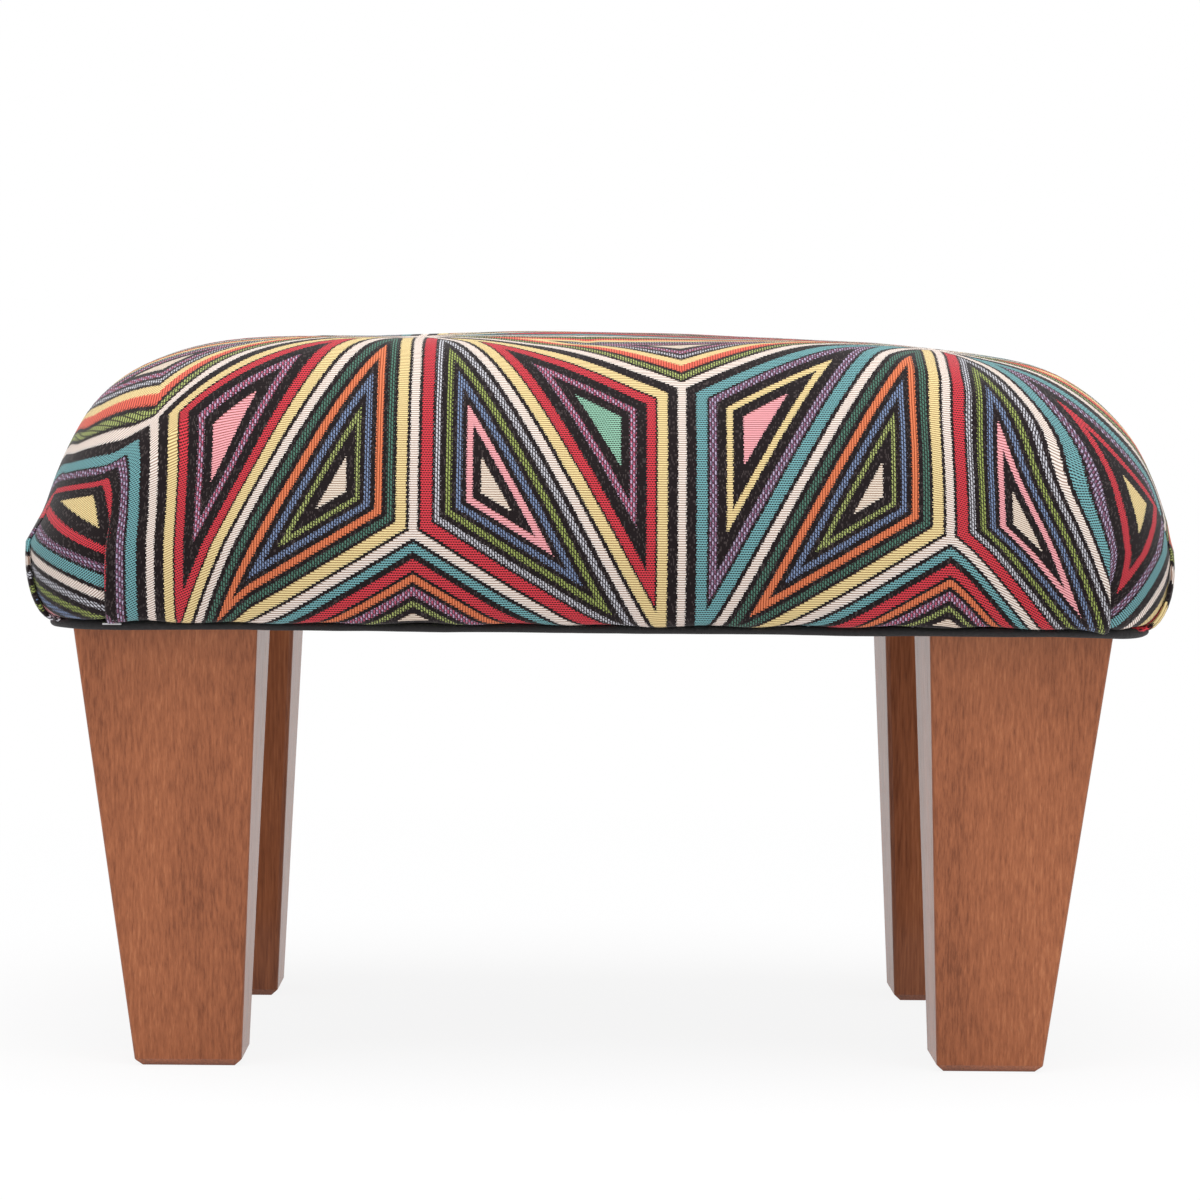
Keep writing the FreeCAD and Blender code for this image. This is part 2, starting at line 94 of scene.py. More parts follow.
class Flow:
    """A shader socket that takes part in Python arithmetic."""

    def __init__(self, finish, socket):
        self.finish = finish
        self.socket = socket

    def math(self, operation, *others):
        return self.finish.math(operation, self, *others)

    def __add__(self, other):
        return self.math("ADD", other)

    def __sub__(self, other):
        return self.math("SUBTRACT", other)

    def __rsub__(self, other):
        return self.finish.math("SUBTRACT", other, self)

    def __mul__(self, other):
        return self.math("MULTIPLY", other)

    def __truediv__(self, other):
        return self.math("DIVIDE", other)

    def __mod__(self, other):
        return self.math("FLOORED_MODULO", other)

    def __lt__(self, other):
        return self.math("LESS_THAN", other)

    def __gt__(self, other):
        return self.math("GREATER_THAN", other)

    def __abs__(self):
        return self.math("ABSOLUTE")

    __radd__ = __add__
    __rmul__ = __mul__


class Finish:
    """A material in the making, with one Principled surface."""

    def __init__(self, name):
        self.material = bpy.data.materials.new(name)
        self.material.use_nodes = True
        self.tree = self.material.node_tree
        self.surface = self.tree.nodes["Principled BSDF"]

    def node(self, kind, settings=None, inputs=None, output=0):
        """Any node: its settings are set first, then the values or links of its sockets."""
        made = self.tree.nodes.new(kind)
        for name, value in (settings or {}).items():
            if name == "stops":
                while len(made.color_ramp.elements) < len(value):
                    made.color_ramp.elements.new(1.0)
                for element, (place, colour) in zip(made.color_ramp.elements, value):
                    element.position = place
                    element.color = colour
            elif name == "interpolation":
                made.color_ramp.interpolation = value
            else:
                setattr(made, name, value)
        for key, value in (inputs or {}).items():
            self.feed(made.inputs[key], value)
        return Flow(self, made.outputs[output])

    def feed(self, socket, value):
        if isinstance(value, Flow):
            self.tree.links.new(value.socket, socket)
        else:
            socket.default_value = value

    def math(self, operation, *values):
        return self.node("ShaderNodeMath", {"operation": operation}, dict(enumerate(values)))

    def mix(self, factor, first, second, blend="MIX"):
        """A colour between two colours."""
        settings = {"data_type": "RGBA", "blend_type": blend}
        return self.node("ShaderNodeMix", settings, {"Factor": factor, 6: first, 7: second}, output=2)

    def ramp(self, place, stops, interpolation="LINEAR", output=0):
        settings = {"interpolation": interpolation, "stops": stops}
        return self.node("ShaderNodeValToRGB", settings, {"Fac": place}, output)

    def grain(self, place, detail=3.0, roughness=0.6):
        """Noise at a place whose stretch sets its size."""
        inputs = {"Vector": place, "Scale": 1.0, "Detail": detail, "Roughness": roughness}
        return self.node("ShaderNodeTexNoise", None, inputs)

    def place(self, stretch=(1.0, 1.0, 1.0)):
        """Object coordinates, drawn out along an axis by a smaller number."""
        where = self.node("ShaderNodeTexCoord", output=3)
        return self.node("ShaderNodeMapping", None, {"Vector": where, "Scale": stretch})

    def bump(self, height, distance, strength=1.0):
        inputs = {"Height": height, "Distance": distance, "Strength": strength}
        self.feed(self.surface.inputs["Normal"], self.node("ShaderNodeBump", None, inputs))

    def set(self, **sockets):
        for name, value in sockets.items():
            self.feed(self.surface.inputs[name.replace("_", " ").title().replace("Ior", "IOR")], value)


def tone(red, green, blue):
    """A colour read from a screen, as the light that it stands for."""
    channels = [c / 255 for c in (red, green, blue)]
    return (*[c / 12.92 if c <= 0.04045 else ((c + 0.055) / 1.055) ** 2.4 for c in channels], 1.0)


print("shader helpers are ready")

# %% [markdown]
# ## Stained wood for the legs
# The legs are a plain hardwood under a warm brown stain. Fine dark pores run up the leg, with broad pale
# and dark streaks behind them. Noise drawn out along Z gives both. The stain gathers in the pores, which
# are a little duller.

# %% Leg finish
# How far the noise is squeezed across a leg and drawn out up it
BROAD_STREAKS = (38, 38, 2.2)
FINE_GRAIN = (1100, 1100, 42)
PORES = (1900, 1900, 60)
# From the darkest streak to the palest
STAIN = [
    (0.34, tone(127, 69, 39)),
    (0.46, tone(156, 90, 55)),
    (0.56, tone(171, 101, 63)),
    (0.68, tone(190, 119, 78)),
]
PORE_STAIN = tone(104, 57, 36)


def stained_wood():
    wood = Finish("stained_leg_wood")
    broad = wood.grain(wood.place(BROAD_STREAKS), 4.0, 0.6)
    fine = wood.grain(wood.place(FINE_GRAIN), 3.0, 0.65)
    pores = wood.grain(wood.place(PORES), 2.0, 0.5)
    colour = wood.ramp(broad * 0.4 + fine * 0.6, STAIN)
    dark_pore = wood.ramp(pores, [(0.30, (1, 1, 1, 1)), (0.42, (0, 0, 0, 1))])
    wood.set(base_color=wood.mix(dark_pore * 0.3, colour, PORE_STAIN))
    wood.set(roughness=0.34 + dark_pore * 0.2 + fine * 0.1)
    wood.set(specular_ior_level=0.2, coat_weight=0.25, coat_roughness=0.15)
    wood.bump(fine * 0.4 - dark_pore * 0.6, 0.0001, 0.5)
    return wood.material


def dress(node, material):
    """Puts one finish on a CAD node."""
    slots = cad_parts[node].data.materials
    slots.clear()
    slots.append(material)


leg_wood = stained_wood()
LEGS = [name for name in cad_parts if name.startswith(("leg_front", "leg_rear"))]
for leg in LEGS:
    dress(leg, leg_wood)
print("stained legs:", LEGS)

# %% [markdown]
# ## Plain wood and steel inside the seat
# Nobody sees the frame until the stool is taken apart, but a part in a library gets taken apart. The rails
# and blocks are planed pine and beech, the deck is plywood, and the fixings are zinc-plated steel.

# %% Inner finishes
ACROSS_GRAIN = 55.0
ALONG_GRAIN = 2.5
FIBRES_PER_RING = 14


def planed_wood(name, pale, dark, along):
    """Raw timber whose grain runs along one axis."""
    wood = Finish(name)
    stretch = [ALONG_GRAIN if axis == along else ACROSS_GRAIN for axis in "XYZ"]
    rings = wood.grain(wood.place(stretch), 3.0, 0.55)
    fibre = wood.grain(wood.place([v * FIBRES_PER_RING for v in stretch]), 2.0, 0.5)
    wood.set(base_color=wood.ramp(rings * 0.7 + fibre * 0.3, [(0.32, dark), (0.62, pale)]))
    wood.set(roughness=0.6 + fibre * 0.25)
    wood.bump(fibre, 0.0001, 0.5)
    return wood.material


def plated_steel(name, colour):
    """Bright plating, a little uneven."""
    steel = Finish(name)
    cloud = steel.grain(steel.place((300, 300, 300)), 4.0, 0.6)
    steel.set(base_color=steel.mix(cloud, tone(*[c * 0.8 for c in colour]), tone(*colour)))
    steel.set(metallic=1.0, roughness=0.25 + cloud * 0.25)
    steel.bump(cloud, 0.00003, 0.4)
    return steel.material


pine = (tone(226, 196, 148), tone(192, 152, 102))
beech = (tone(214, 180, 140), tone(178, 138, 100))
ply = (tone(214, 186, 140), tone(176, 140, 98))
for rail, along in (("front_rail", "X"), ("rear_rail", "X"), ("left_rail", "Y"), ("right_rail", "Y")):
    dress(rail, planed_wood("pine_" + rail, *pine, along))
block_wood = planed_wood("beech_blocks", *beech, "Z")
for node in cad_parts:
    if node.startswith("corner_block"):
        dress(node, block_wood)
dress("rail_dowels", planed_wood("beech_dowels", *beech, "Y"))
dress("seat_deck", planed_wood("plywood_deck", *ply, "X"))
PLATING = {
    "leg_hanger_bolts": ("bolt_plating", (205, 207, 210)),
    "leg_tee_nuts": ("nut_plating", (198, 200, 204)),
    "block_screws": ("block_screw_plating", (214, 190, 120)),
    "deck_screws": ("deck_screw_plating", (214, 190, 120)),
}
for node, plating in PLATING.items():
    dress(node, plated_steel(*plating))
staple_steel = plated_steel("staple_wire", (214, 214, 216))
dress("cover_staples", staple_steel)
dress("dust_cover_staples", staple_steel)
print("dressed", len(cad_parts), "CAD nodes, less the soft ones")

# %% [markdown]
# ## The seat's form
# Cover, wadding and foam all follow one form: an oblong with round corners that bulges over the rails,
# rolls over a long shoulder at the ends and a shorter one at the front, and closes in a slight crown. Each
# level of it is one ring of points, and a layer inside it is the same form set in. Rings keep their
# columns from level to level, which makes it easy later to say where on the cloth a point is.

# %% Sizes of the seat, in millimetres
FRAME_SETBACK = 10.5
_, deck_high = (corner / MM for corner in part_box("seat_deck"))
cover_low, _ = (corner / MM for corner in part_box("seat_cover"))
SEAT_X = deck_high.x + FRAME_SETBACK
SEAT_Y = deck_high.y + FRAME_SETBACK
UNDERSIDE = cover_low.z
WIDEST_RISE = 25.0
WIDEST = UNDERSIDE + WIDEST_RISE
TUCK = 8.0
# As a side rises it comes in by a slope, then over a shoulder of this width and fullness
END_SLOPE, END_SHOULDER, END_FULLNESS = 0.32, 105.0, 4.1
FRONT_SLOPE, FRONT_SHOULDER, FRONT_FULLNESS = 0.08, 45.0, 2.2
CORNER = 35.0
CROWN_CORNER = 72.0
SHOULDER_END = 83.0
CROWN_RISE = 5.2
SHOULDER_RISE = 68.8
SEAT_TOP = WIDEST + SHOULDER_RISE * math.sin(math.radians(SHOULDER_END)) + CROWN_RISE
print("seat", 2 * SEAT_X, "x", 2 * SEAT_Y, "mm, underside", round(UNDERSIDE, 1), "top", round(SEAT_TOP, 1))

# %% Rings of the form


def reach_in(share, slope, width, fullness):
    """How far a side has come in at a share of the shoulder's height."""
    return slope * SHOULDER_RISE * share + width * (1 - (1 - share**fullness) ** (1 / fullness))


def shoulder_ring(angle, inset):
    """Half sizes, corner radius and height of the form at an angle up its shoulder."""
    share = math.sin(math.radians(angle))
    lean = 1 - math.cos(math.radians(angle))
    return (
        SEAT_X - inset - reach_in(share, END_SLOPE, END_SHOULDER - inset, END_FULLNESS),
        SEAT_Y - inset - reach_in(share, FRONT_SLOPE, FRONT_SHOULDER - inset, FRONT_FULLNESS),
        CORNER - inset + (CROWN_CORNER - CORNER) * lean,
        WIDEST + (SHOULDER_RISE - inset) * share,
    )


def tuck_ring(angle, inset):
    """The same, at an angle below the widest line."""
    turn_in = (TUCK - inset) * (1 - math.cos(math.radians(angle)))
    height = WIDEST - (WIDEST - UNDERSIDE - inset) * math.sin(math.radians(angle))
    return SEAT_X - inset - turn_in, SEAT_Y - inset - turn_in, CORNER - inset - turn_in / 2, height


def crown_ring(share, inset):
    """The same, over the crown: a share of 1 is its edge and 0 its middle."""
    half_x, half_y, radius, height = shoulder_ring(SHOULDER_END, inset)
    return half_x * share, half_y * share, radius * share, height + CROWN_RISE * (1 - share * share)


# Each column is a place round the ring: straight runs by their share, corners by their angle
RUN_X = 60
RUN_Y = 40
CORNER_COLUMNS = 16


def columns():
    """Pairs of side and share, anticlockwise from the left of the front."""
    found = []
    for side, steps in ((0, RUN_X), (1, CORNER_COLUMNS), (2, RUN_Y), (3, CORNER_COLUMNS)):
        found += [(side, i / steps) for i in range(steps)]
    return found + [(side + 4, share) for side, share in found]


def ring_point(ring, side, share):
    """A point of a ring. Sides: 0 front, 1 corner, 2 right end, 3 corner, then the same again half round."""
    half_x, half_y, radius, height = ring
    turned = -1 if side > 3 else 1
    run_x = half_x - radius
    run_y = half_y - radius
    inside = min(1.0, max(0.0, share))
    angle = inside * math.pi / 2
    beyond = (share - inside) * radius * math.pi / 2
    if side % 4 == 0:
        x, y = run_x * (2 * share - 1), -half_y
    elif side % 4 == 1:
        x, y = run_x + radius * math.sin(angle), -run_y - radius * math.cos(angle)
        x, y = (x + beyond, y) if beyond < 0 else (x, y + beyond)
    elif side % 4 == 2:
        x, y = half_x, run_y * (2 * share - 1)
    else:
        x, y = run_x + radius * math.cos(angle), run_y + radius * math.sin(angle)
        x, y = (x, y + beyond) if beyond < 0 else (x - beyond, y)
    return x * turned, y * turned, height


def ring_points(ring, places):
    return np.array([ring_point(ring, side, share) for side, share in places])


COLUMNS = columns()
print(len(COLUMNS), "columns round the seat")

# %% How the seat sits
SEAT_SHIFT = 1.85
SEAT_SHARE = 0.9945
BULGE = 1.7
BULGE_GROWS = (176, 186)
BULGE_ENDS = (232, 212)
BULGE_ALONG = (120, 180)
HUMPS_GROW = (205, 240)
# X, width and rise of a hump at the left and a dip at the right
HUMPS = ((-112, 34, 0.9), (128, 26, -1.4))


def ramped(values, start, full):
    """0 up to a start and 1 from a full value on, and in even steps between them."""
    return np.clip((values - start) / (full - start), 0, 1)


def settle(points):
    """The seat as it sits: right of the legs' middle, fuller at its right end and higher at its left."""
    moved = np.array(points)
    x, height = moved[..., 0], moved[..., 2]
    fuller = ramped(height, *BULGE_GROWS) * ramped(height, *BULGE_ENDS)
    fuller *= ramped(np.abs(x), *BULGE_ALONG) ** 2
    rise = sum(most * np.exp(-(((x - middle) / width) ** 2)) for middle, width, most in HUMPS)
    moved[..., 2] = height + rise * ramped(height, *HUMPS_GROW)
    moved[..., 0] = x * SEAT_SHARE + SEAT_SHIFT + BULGE * fuller
    return moved


print("the seat sits", SEAT_SHIFT, "mm to the right")

# %% Skins from rings


def skin(name, grid, close_bottom=False):
    """A mesh object from a grid of rings, in metres, closed over the last one, with its faces outwards."""
    rows, around = grid.shape[:2]
    points = [tuple(p) for p in grid.reshape(-1, 3) * MM]
    faces = []
    for j in range(rows - 1):
        for i in range(around):
            k = (i + 1) % around
            faces.append((j * around + i, j * around + k, (j + 1) * around + k, (j + 1) * around + i))
    points.append(tuple(grid[-1].mean(0) * MM))
    last = (rows - 1) * around
    faces += [(last + i, last + (i + 1) % around, len(points) - 1) for i in range(around)]
    if close_bottom:
        points.append(tuple(grid[0].mean(0) * MM))
        faces += [((i + 1) % around, i, len(points) - 1) for i in range(around)]
    mesh = bpy.data.meshes.new(name)
    mesh.from_pydata(points, [], faces)
    mesh.update()
    made = bpy.data.objects.new(name, mesh)
    bpy.context.collection.objects.link(made)
    return made


def only(made):
    """Selects one object and nothing else."""
    bpy.ops.object.select_all(action="DESELECT")
    made.select_set(True)
    bpy.context.view_layer.objects.active = made


def smooth(made):
    only(made)
    bpy.ops.object.shade_smooth()


def finish_piece(made, material, slot_name, *nodes):
    """A finished piece takes its material, rides on the stool and stands for its CAD nodes."""
    made.data.materials.clear()
    made.data.materials.append(material)
    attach(made, "root")
    if nodes:
        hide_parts(*nodes)


TURNED_UNDER = (30, 22, 14, 7, 2)
TUCK_STEPS = 10
SHOULDER_STEPS = 30
CROWN_STEPS = 15
CROWN_SHARES = [1 - (i / CROWN_STEPS) ** 1.15 for i in range(1, CROWN_STEPS)] + [0.03]
FLANGE = [(SEAT_X - TUCK - d, SEAT_Y - TUCK - d, CORNER - TUCK / 2 - d / 2, UNDERSIDE) for d in TURNED_UNDER]
TUCK_RINGS = [tuck_ring(90 * (1 - i / TUCK_STEPS), 0) for i in range(TUCK_STEPS)]
SHOULDER_RINGS = [shoulder_ring(SHOULDER_END * i / SHOULDER_STEPS, 0) for i in range(SHOULDER_STEPS + 1)]
CROWN_RINGS = [crown_ring(share, 0) for share in CROWN_SHARES]
COVER_RINGS = FLANGE + TUCK_RINGS + SHOULDER_RINGS + CROWN_RINGS
print(len(COVER_RINGS), "rings from the turned-under edge to the crown")

# %% [markdown]
# ## Swelling the cover
# A drawn form is too even for cloth over padding. Blender's Cloth blows the skin up a little from inside
# while its turned-under edge is held: the sides fill out between the corners, and the corners pull in. The
# drawn rings already have the right size at each height, so a ring keeps its average and takes only the
# differences round it, capped. The move is kept as a field that any later mesh of the same form can use.

# %% Run the cloth
SWELL_START = 2.6
SWELL_CAP = 1.4
SWELL_SHARE = 0.4
SWELL_FRAMES = 20
HELD_ROWS = len(FLANGE) + 2
FREE_ROWS = HELD_ROWS + 8
CLOTH_SETTINGS = {
    "quality": 6,
    "mass": 0.3,
    "tension_stiffness": 18,
    "compression_stiffness": 12,
    "shear_stiffness": 6,
    "bending_stiffness": 1.5,
    "vertex_group_mass": "held",
    "use_pressure": True,
    "uniform_pressure_force": 4.0,
}


def outward(grid):
    """Unit normals of a grid of rings."""
    around = np.roll(grid, -1, 1) - np.roll(grid, 1, 1)
    up = np.gradient(grid, axis=0)
    normal = np.cross(around, up)
    return normal / np.maximum(np.linalg.norm(normal, axis=2, keepdims=True), 1e-9)


base_grid = np.array([ring_points(ring, COLUMNS) for ring in COVER_RINGS])
base_normals = outward(base_grid)
let_go = ramped(np.arange(len(COVER_RINGS)), HELD_ROWS, FREE_ROWS)[:, None, None]
start_grid = base_grid - base_normals * SWELL_START * let_go


def swell(grid):
    """How far pressure moves each point of the skin, in millimetres."""
    trial = skin("swell_trial", grid)
    held = trial.vertex_groups.new(name="held")
    around = grid.shape[1]
    held.add(list(range(HELD_ROWS * around)), 1.0, "REPLACE")
    cloth = trial.modifiers.new("swell", "CLOTH")
    for name, value in CLOTH_SETTINGS.items():
        setattr(cloth.settings, name, value)
    cloth.settings.effector_weights.gravity = 0
    cloth.collision_settings.use_collision = False
    cloth.point_cache.frame_start = 1
    cloth.point_cache.frame_end = SWELL_FRAMES
    for step in range(1, SWELL_FRAMES + 1):
        bpy.context.scene.frame_set(step)
    shown = trial.evaluated_get(bpy.context.evaluated_depsgraph_get())
    moved = np.array([v.co for v in shown.data.vertices])[: grid.shape[0] * around]
    bpy.context.scene.frame_set(1)
    bpy.data.objects.remove(trial)
    return moved.reshape(grid.shape) / MM - grid


swollen = swell(start_grid)
out_by = (swollen * base_normals).sum(2, keepdims=True)
out_by = np.clip(SWELL_SHARE * (out_by - out_by.mean(1, keepdims=True)), -SWELL_CAP, SWELL_CAP)
field = base_normals * out_by * let_go
print("the cloth moved", np.round(np.linalg.norm(swollen, axis=2).max(), 2), "mm at most")
print("kept of it, in millimetres:", np.round(field.min(), 2), "to", np.round(field.max(), 2))

# %% [markdown]
# ## Pleated corners
# A flat cloth has too much stuff at a corner. The upholsterer pulls the corner down on the slant first,
# then folds the cloth of each side over it, which leaves an upright fold either side of the corner. Each
# fold is a Z in the cloth: over a nose, back under it to a crease, and out again. It grows from nothing
# part of the way up.

# %% Where the folds are
# Corner side: how far in from the next face each of its folds is, and the height where it starts
FOLDS = {
    1: ((25.4, 176.0), (23.0, 188.0)),
    3: ((23.5, 186.0), (25.5, 188.0)),
    5: ((25.0, 187.0), (22.0, 186.0)),
    7: ((23.0, 190.0), (31.0, 191.0)),
}
# Sideways place before and after folding, and how far out, from the overlapping side to the corner's
FOLD_COLUMNS = (
    (-13.0, -13.0, 0.0),
    (-8.0, -8.0, 0.45),
    (-4.5, -4.0, 1.0),
    (-2.6, -1.5, 1.45),
    (-1.5, -0.1, 1.55),
    (-0.7, 0.75, 1.15),
    (-0.2, 0.9, 0.65),
    (0.1, 0.3, 0.1),
    (0.3, -1.0, -0.45),
    (0.7, 0.6, -0.5),
    (1.6, 2.2, -0.35),
    (3.5, 4.2, -0.1),
    (6.0, 6.5, 0.0),
)
CREASE = 8
CORNER_STEPS = 8
FOLD_GROWTH = 26.0
FOLDED_BELOW = shoulder_ring(22.0, 0.0)
STEEPEST = 0.9


class Column:
    """One column of the cover: a place on a straight side, in a fold, or between two folds."""

    def __init__(self, side, place, piece, number=None, flat=0.0, folded=0.0, out=0.0):
        self.side = side
        self.place = place
        self.piece = piece
        self.number = number
        self.flat = flat
        self.folded = folded
        self.out = out


def corner_columns(side):
    """Columns through one corner: a fold, the corner's own cloth, and a fold that mirrors the first."""
    fold = [(index <= CREASE, *how) for index, how in enumerate(FOLD_COLUMNS)]
    first = [Column(side, 0, "first" if over else "corner", 0, *how) for over, *how in fold]
    last = [Column(side, 0, "last" if over else "corner", 1, *how) for over, *how in fold[::-1]]
    inner = [Column(side, i / CORNER_STEPS, "corner") for i in range(1, CORNER_STEPS)]
    return first + inner + last


RUNS = (72, 0, 52, 0) * 2
cover_columns = []
for side, steps in enumerate(RUNS):
    if steps:
        cover_columns += [Column(side, i / steps, "side") for i in range(1, steps)]
    else:
        cover_columns += corner_columns(side)
print(len(cover_columns), "columns in the cover, with", 2 * len(FOLDS), "folds")

# %% How a fold grows


def eased(share):
    """0 to 1 with a soft start and end."""
    share = min(1.0, max(0.0, share))
    return share * share * (3 - 2 * share)


def fold_amount(column, height):
    """How far a fold has grown at a height: nothing at its start and all of it a little below."""
    if column.number is None:
        return 0.0
    return eased((FOLDS[column.side][column.number][1] - height) / FOLD_GROWTH)


def fold_share(side, number, ring, sideways):
    """A place beside a fold, as a share of the corner's quarter turn, or beyond 0 or 1 on a straight."""
    half_x, half_y, radius, height = ring if ring[3] < FOLDED_BELOW[3] else FOLDED_BELOW
    along_x = (side % 4 == 1) == (number == 0)
    past = SEAT_X - half_x + radius if along_x else SEAT_Y - half_y + radius
    past = (past - FOLDS[side][number][0]) / radius
    turned = math.asin(min(past, STEEPEST)) if past > 0 else past
    share = (turned + sideways / radius) / (math.pi / 2)
    return share if number == 0 else 1 - share


def fold_place(column, ring):
    """Where a fold's column is at a ring, as its fold draws it sideways."""
    amount = fold_amount(column, ring[3])
    return fold_share(column.side, column.number, ring, column.flat + (column.folded - column.flat) * amount)


def spot(column, ring):
    """The side, share and piece of cloth of any column at a ring."""
    if column.number is not None:
        return column.side, fold_place(column, ring), column.piece
    flat_in, flat_out = FOLD_COLUMNS[0][0], FOLD_COLUMNS[-1][0]
    if column.piece == "corner":
        low = fold_share(column.side, 0, ring, flat_out)
        high = fold_share(column.side, 1, ring, flat_out)
        return column.side, low + (high - low) * column.place, "corner"
    before = (column.side - 1) % 8
    after = column.side + 1
    quarter = ring[2] * math.pi / 2
    run = 2 * (ring[0] - ring[2] if column.side % 4 == 0 else ring[1] - ring[2])
    start = (fold_share(before, 1, ring, flat_in) - 1) * quarter
    end = run + fold_share(after, 0, ring, flat_in) * quarter
    along = start + (end - start) * column.place
    if along < 0:
        return before, 1 + along / quarter, "last"
    if along > run:
        return after, (along - run) / quarter, "first"
    return column.side, along / run, "side"


spots = [[spot(column, ring) for column in cover_columns] for ring in COVER_RINGS]
in_folds = sum(fold_amount(column, UNDERSIDE) > 0 for column in cover_columns)
print(in_folds, "columns are in folds at the lower edge")

# %% Grid of the pleated cover
FIELD_STEPS = (RUN_X, CORNER_COLUMNS, RUN_Y, CORNER_COLUMNS) * 2
FIELD_STARTS = np.cumsum([0, *FIELD_STEPS[:-1]])
# Length and depth of the slow bumps of hand-stretched cloth, and where in the noise they are read
BUMPS = ((62, 0.7, Vector((0, 0, 0))), (23, 0.22, Vector((7, 3, 1))))
# The pulls at the staples along the lower edge: how far apart, how deep and how far up
PULL_SPACING = 31
PULL_DEPTH = 0.35
PULL_REACH = 26
NUDGE = 0.01


def field_at(row, side, share):
    """The swelling at any place round a ring, between the columns that the cloth was run on."""
    place = FIELD_STARTS[side] + share * FIELD_STEPS[side]
    first = math.floor(place)
    part = place - first
    around = field.shape[1]
    return field[row, first % around] * (1 - part) + field[row, (first + 1) % around] * part


def unevenness(point, normal):
    """How far slow bumps and small pulls move a point of the cloth."""
    slow = sum(noise.noise(Vector(point) / length + start) * depth for length, depth, start in BUMPS)
    low = max(0.0, 1 - (point[2] - UNDERSIDE) / PULL_REACH)
    pull = math.sin((point[0] + point[1]) * math.tau / PULL_SPACING) * PULL_DEPTH * low
    return normal * (slow + pull)


even_grid = np.array([[ring_point(ring, *at[:2]) for at in row] for ring, row in zip(COVER_RINGS, spots)])
swell_grid = np.array([[field_at(j, *at[:2]) for at in row] for j, row in enumerate(spots)])
cover_normals = np.zeros_like(even_grid)
for j, ring in enumerate(COVER_RINGS):
    above = COVER_RINGS[min(j + 1, len(COVER_RINGS) - 1)]
    below = COVER_RINGS[max(j - 1, 0)]
    for i, (side, share, _) in enumerate(spots[j]):
        around = np.subtract(ring_point(ring, side, share + NUDGE), ring_point(ring, side, share - NUDGE))
        up = np.subtract(ring_point(above, side, share), ring_point(below, side, share))
        normal = np.cross(around, up)
        cover_normals[j, i] = normal / max(np.linalg.norm(normal), 1e-9)
cover_grid = even_grid + swell_grid
for j, ring in enumerate(COVER_RINGS):
    for i, column in enumerate(cover_columns):
        normal = cover_normals[j, i]
        cover_grid[j, i] += normal * column.out * fold_amount(column, ring[3])
        cover_grid[j, i] += unevenness(even_grid[j, i], normal)
cover_grid[: len(FLANGE), :, 2] = np.maximum(cover_grid[: len(FLANGE), :, 2], UNDERSIDE)
cover_grid = settle(cover_grid)
print("cover reaches", np.round(cover_grid.min((0, 1)), 1), "to", np.round(cover_grid.max((0, 1)), 1))

# %% [markdown]
# ## Where the cloth came from
# The weave's pattern was on the flat cloth before it was pulled over the seat, so each corner of each face
# gets its place on that flat cloth. Over the crown that place is simply X and Y. Down the front it is X
# and the length of the way down, and down an end it is that length and Y. Round a corner the two run into
# each other on a quarter ellipse. Lower down each side's cloth is dragged towards its corners, which bends
# its bands, and a corner has a piece of its own that lies on the slant between its two folds, so the
# pattern breaks at a fold as it does in cloth.

# %% Cloth places
ring_table = np.array(COVER_RINGS)


def way_down(half):
    """Length along the form from the middle of the crown to each ring, on the front or on an end."""
    steps = np.hypot(np.diff(ring_table[:, half]), np.diff(ring_table[:, 3]))
    return ring_table[-1, half] + np.concatenate([np.cumsum(steps[::-1])[::-1], [0.0]])


WAY_X = way_down(0)
WAY_Y = way_down(1)
PULL_TOP = 242.0
PULL_GROWTH = 46.0
# A side's cloth is drawn along and dragged down from this far before its corner, and less so high up
DRAG_REACH = 42.0
DRAWN_ALONG = 2.5
DRAG_SLOPE = 0.5
DRAG_EASE = 8.0
DRAG_LOSS = 0.6
DRAG_LOSS_FROM = 185.0
DRAG_LOSS_OVER = 45.0
# A corner's own piece is measured from a point this far round it and this high, and runs faster above that
OWN_ROUND = 25.0
OWN_HEIGHT = 190.0
OWN_HASTE = 1.35
# Corner side: X and Y of that point on the flat cloth, and how far they go for each millimetre further
# round and each millimetre down
OWN_CLOTH = {side: ((176.0, 0.74, 0.70), (149.2, -0.65, 0.88)) for side in (1, 3, 5)}
OWN_CLOTH[7] = ((175.6, 0.72, 0.57), (139.0, -0.62, 0.87))
# The pieces part from this far above the start of the fold between them
PARTED_ABOVE_FRONT = 8.0
PARTED_ABOVE_END = 14.0
PARTED_OVER = 24.0
# Higher up the front runs into the corner from a distance, and the corner into the end from an angle
INTO_CORNER_FROM, INTO_CORNER_OVER = 2.0, 18.0
INTO_END_FROM, INTO_END_OVER = 58.0, 32.0


def pulled_at(height):
    """How far the pull of the corners is felt at a height."""
    return eased((PULL_TOP - height) / PULL_GROWTH)


def pulled_side(past, height):
    """How far a side's cloth is drawn along and dragged down, at a distance past the start of its corner."""
    reach = max(0.0, past + DRAG_REACH)
    dragged = DRAG_SLOPE * reach * reach / (reach + DRAG_EASE)
    lost = DRAG_LOSS * eased((height - DRAG_LOSS_FROM) / DRAG_LOSS_OVER)
    return DRAWN_ALONG * eased(reach / DRAG_REACH), dragged * (1 - lost)


def straight_place(along, run, way, height):
    """The place along a side and the way down to it, for a point of a straight run."""
    drawn, dragged = pulled_side(abs(along) - run, height)
    return along + math.copysign(drawn, along) * pulled_at(height), way - dragged * pulled_at(height)


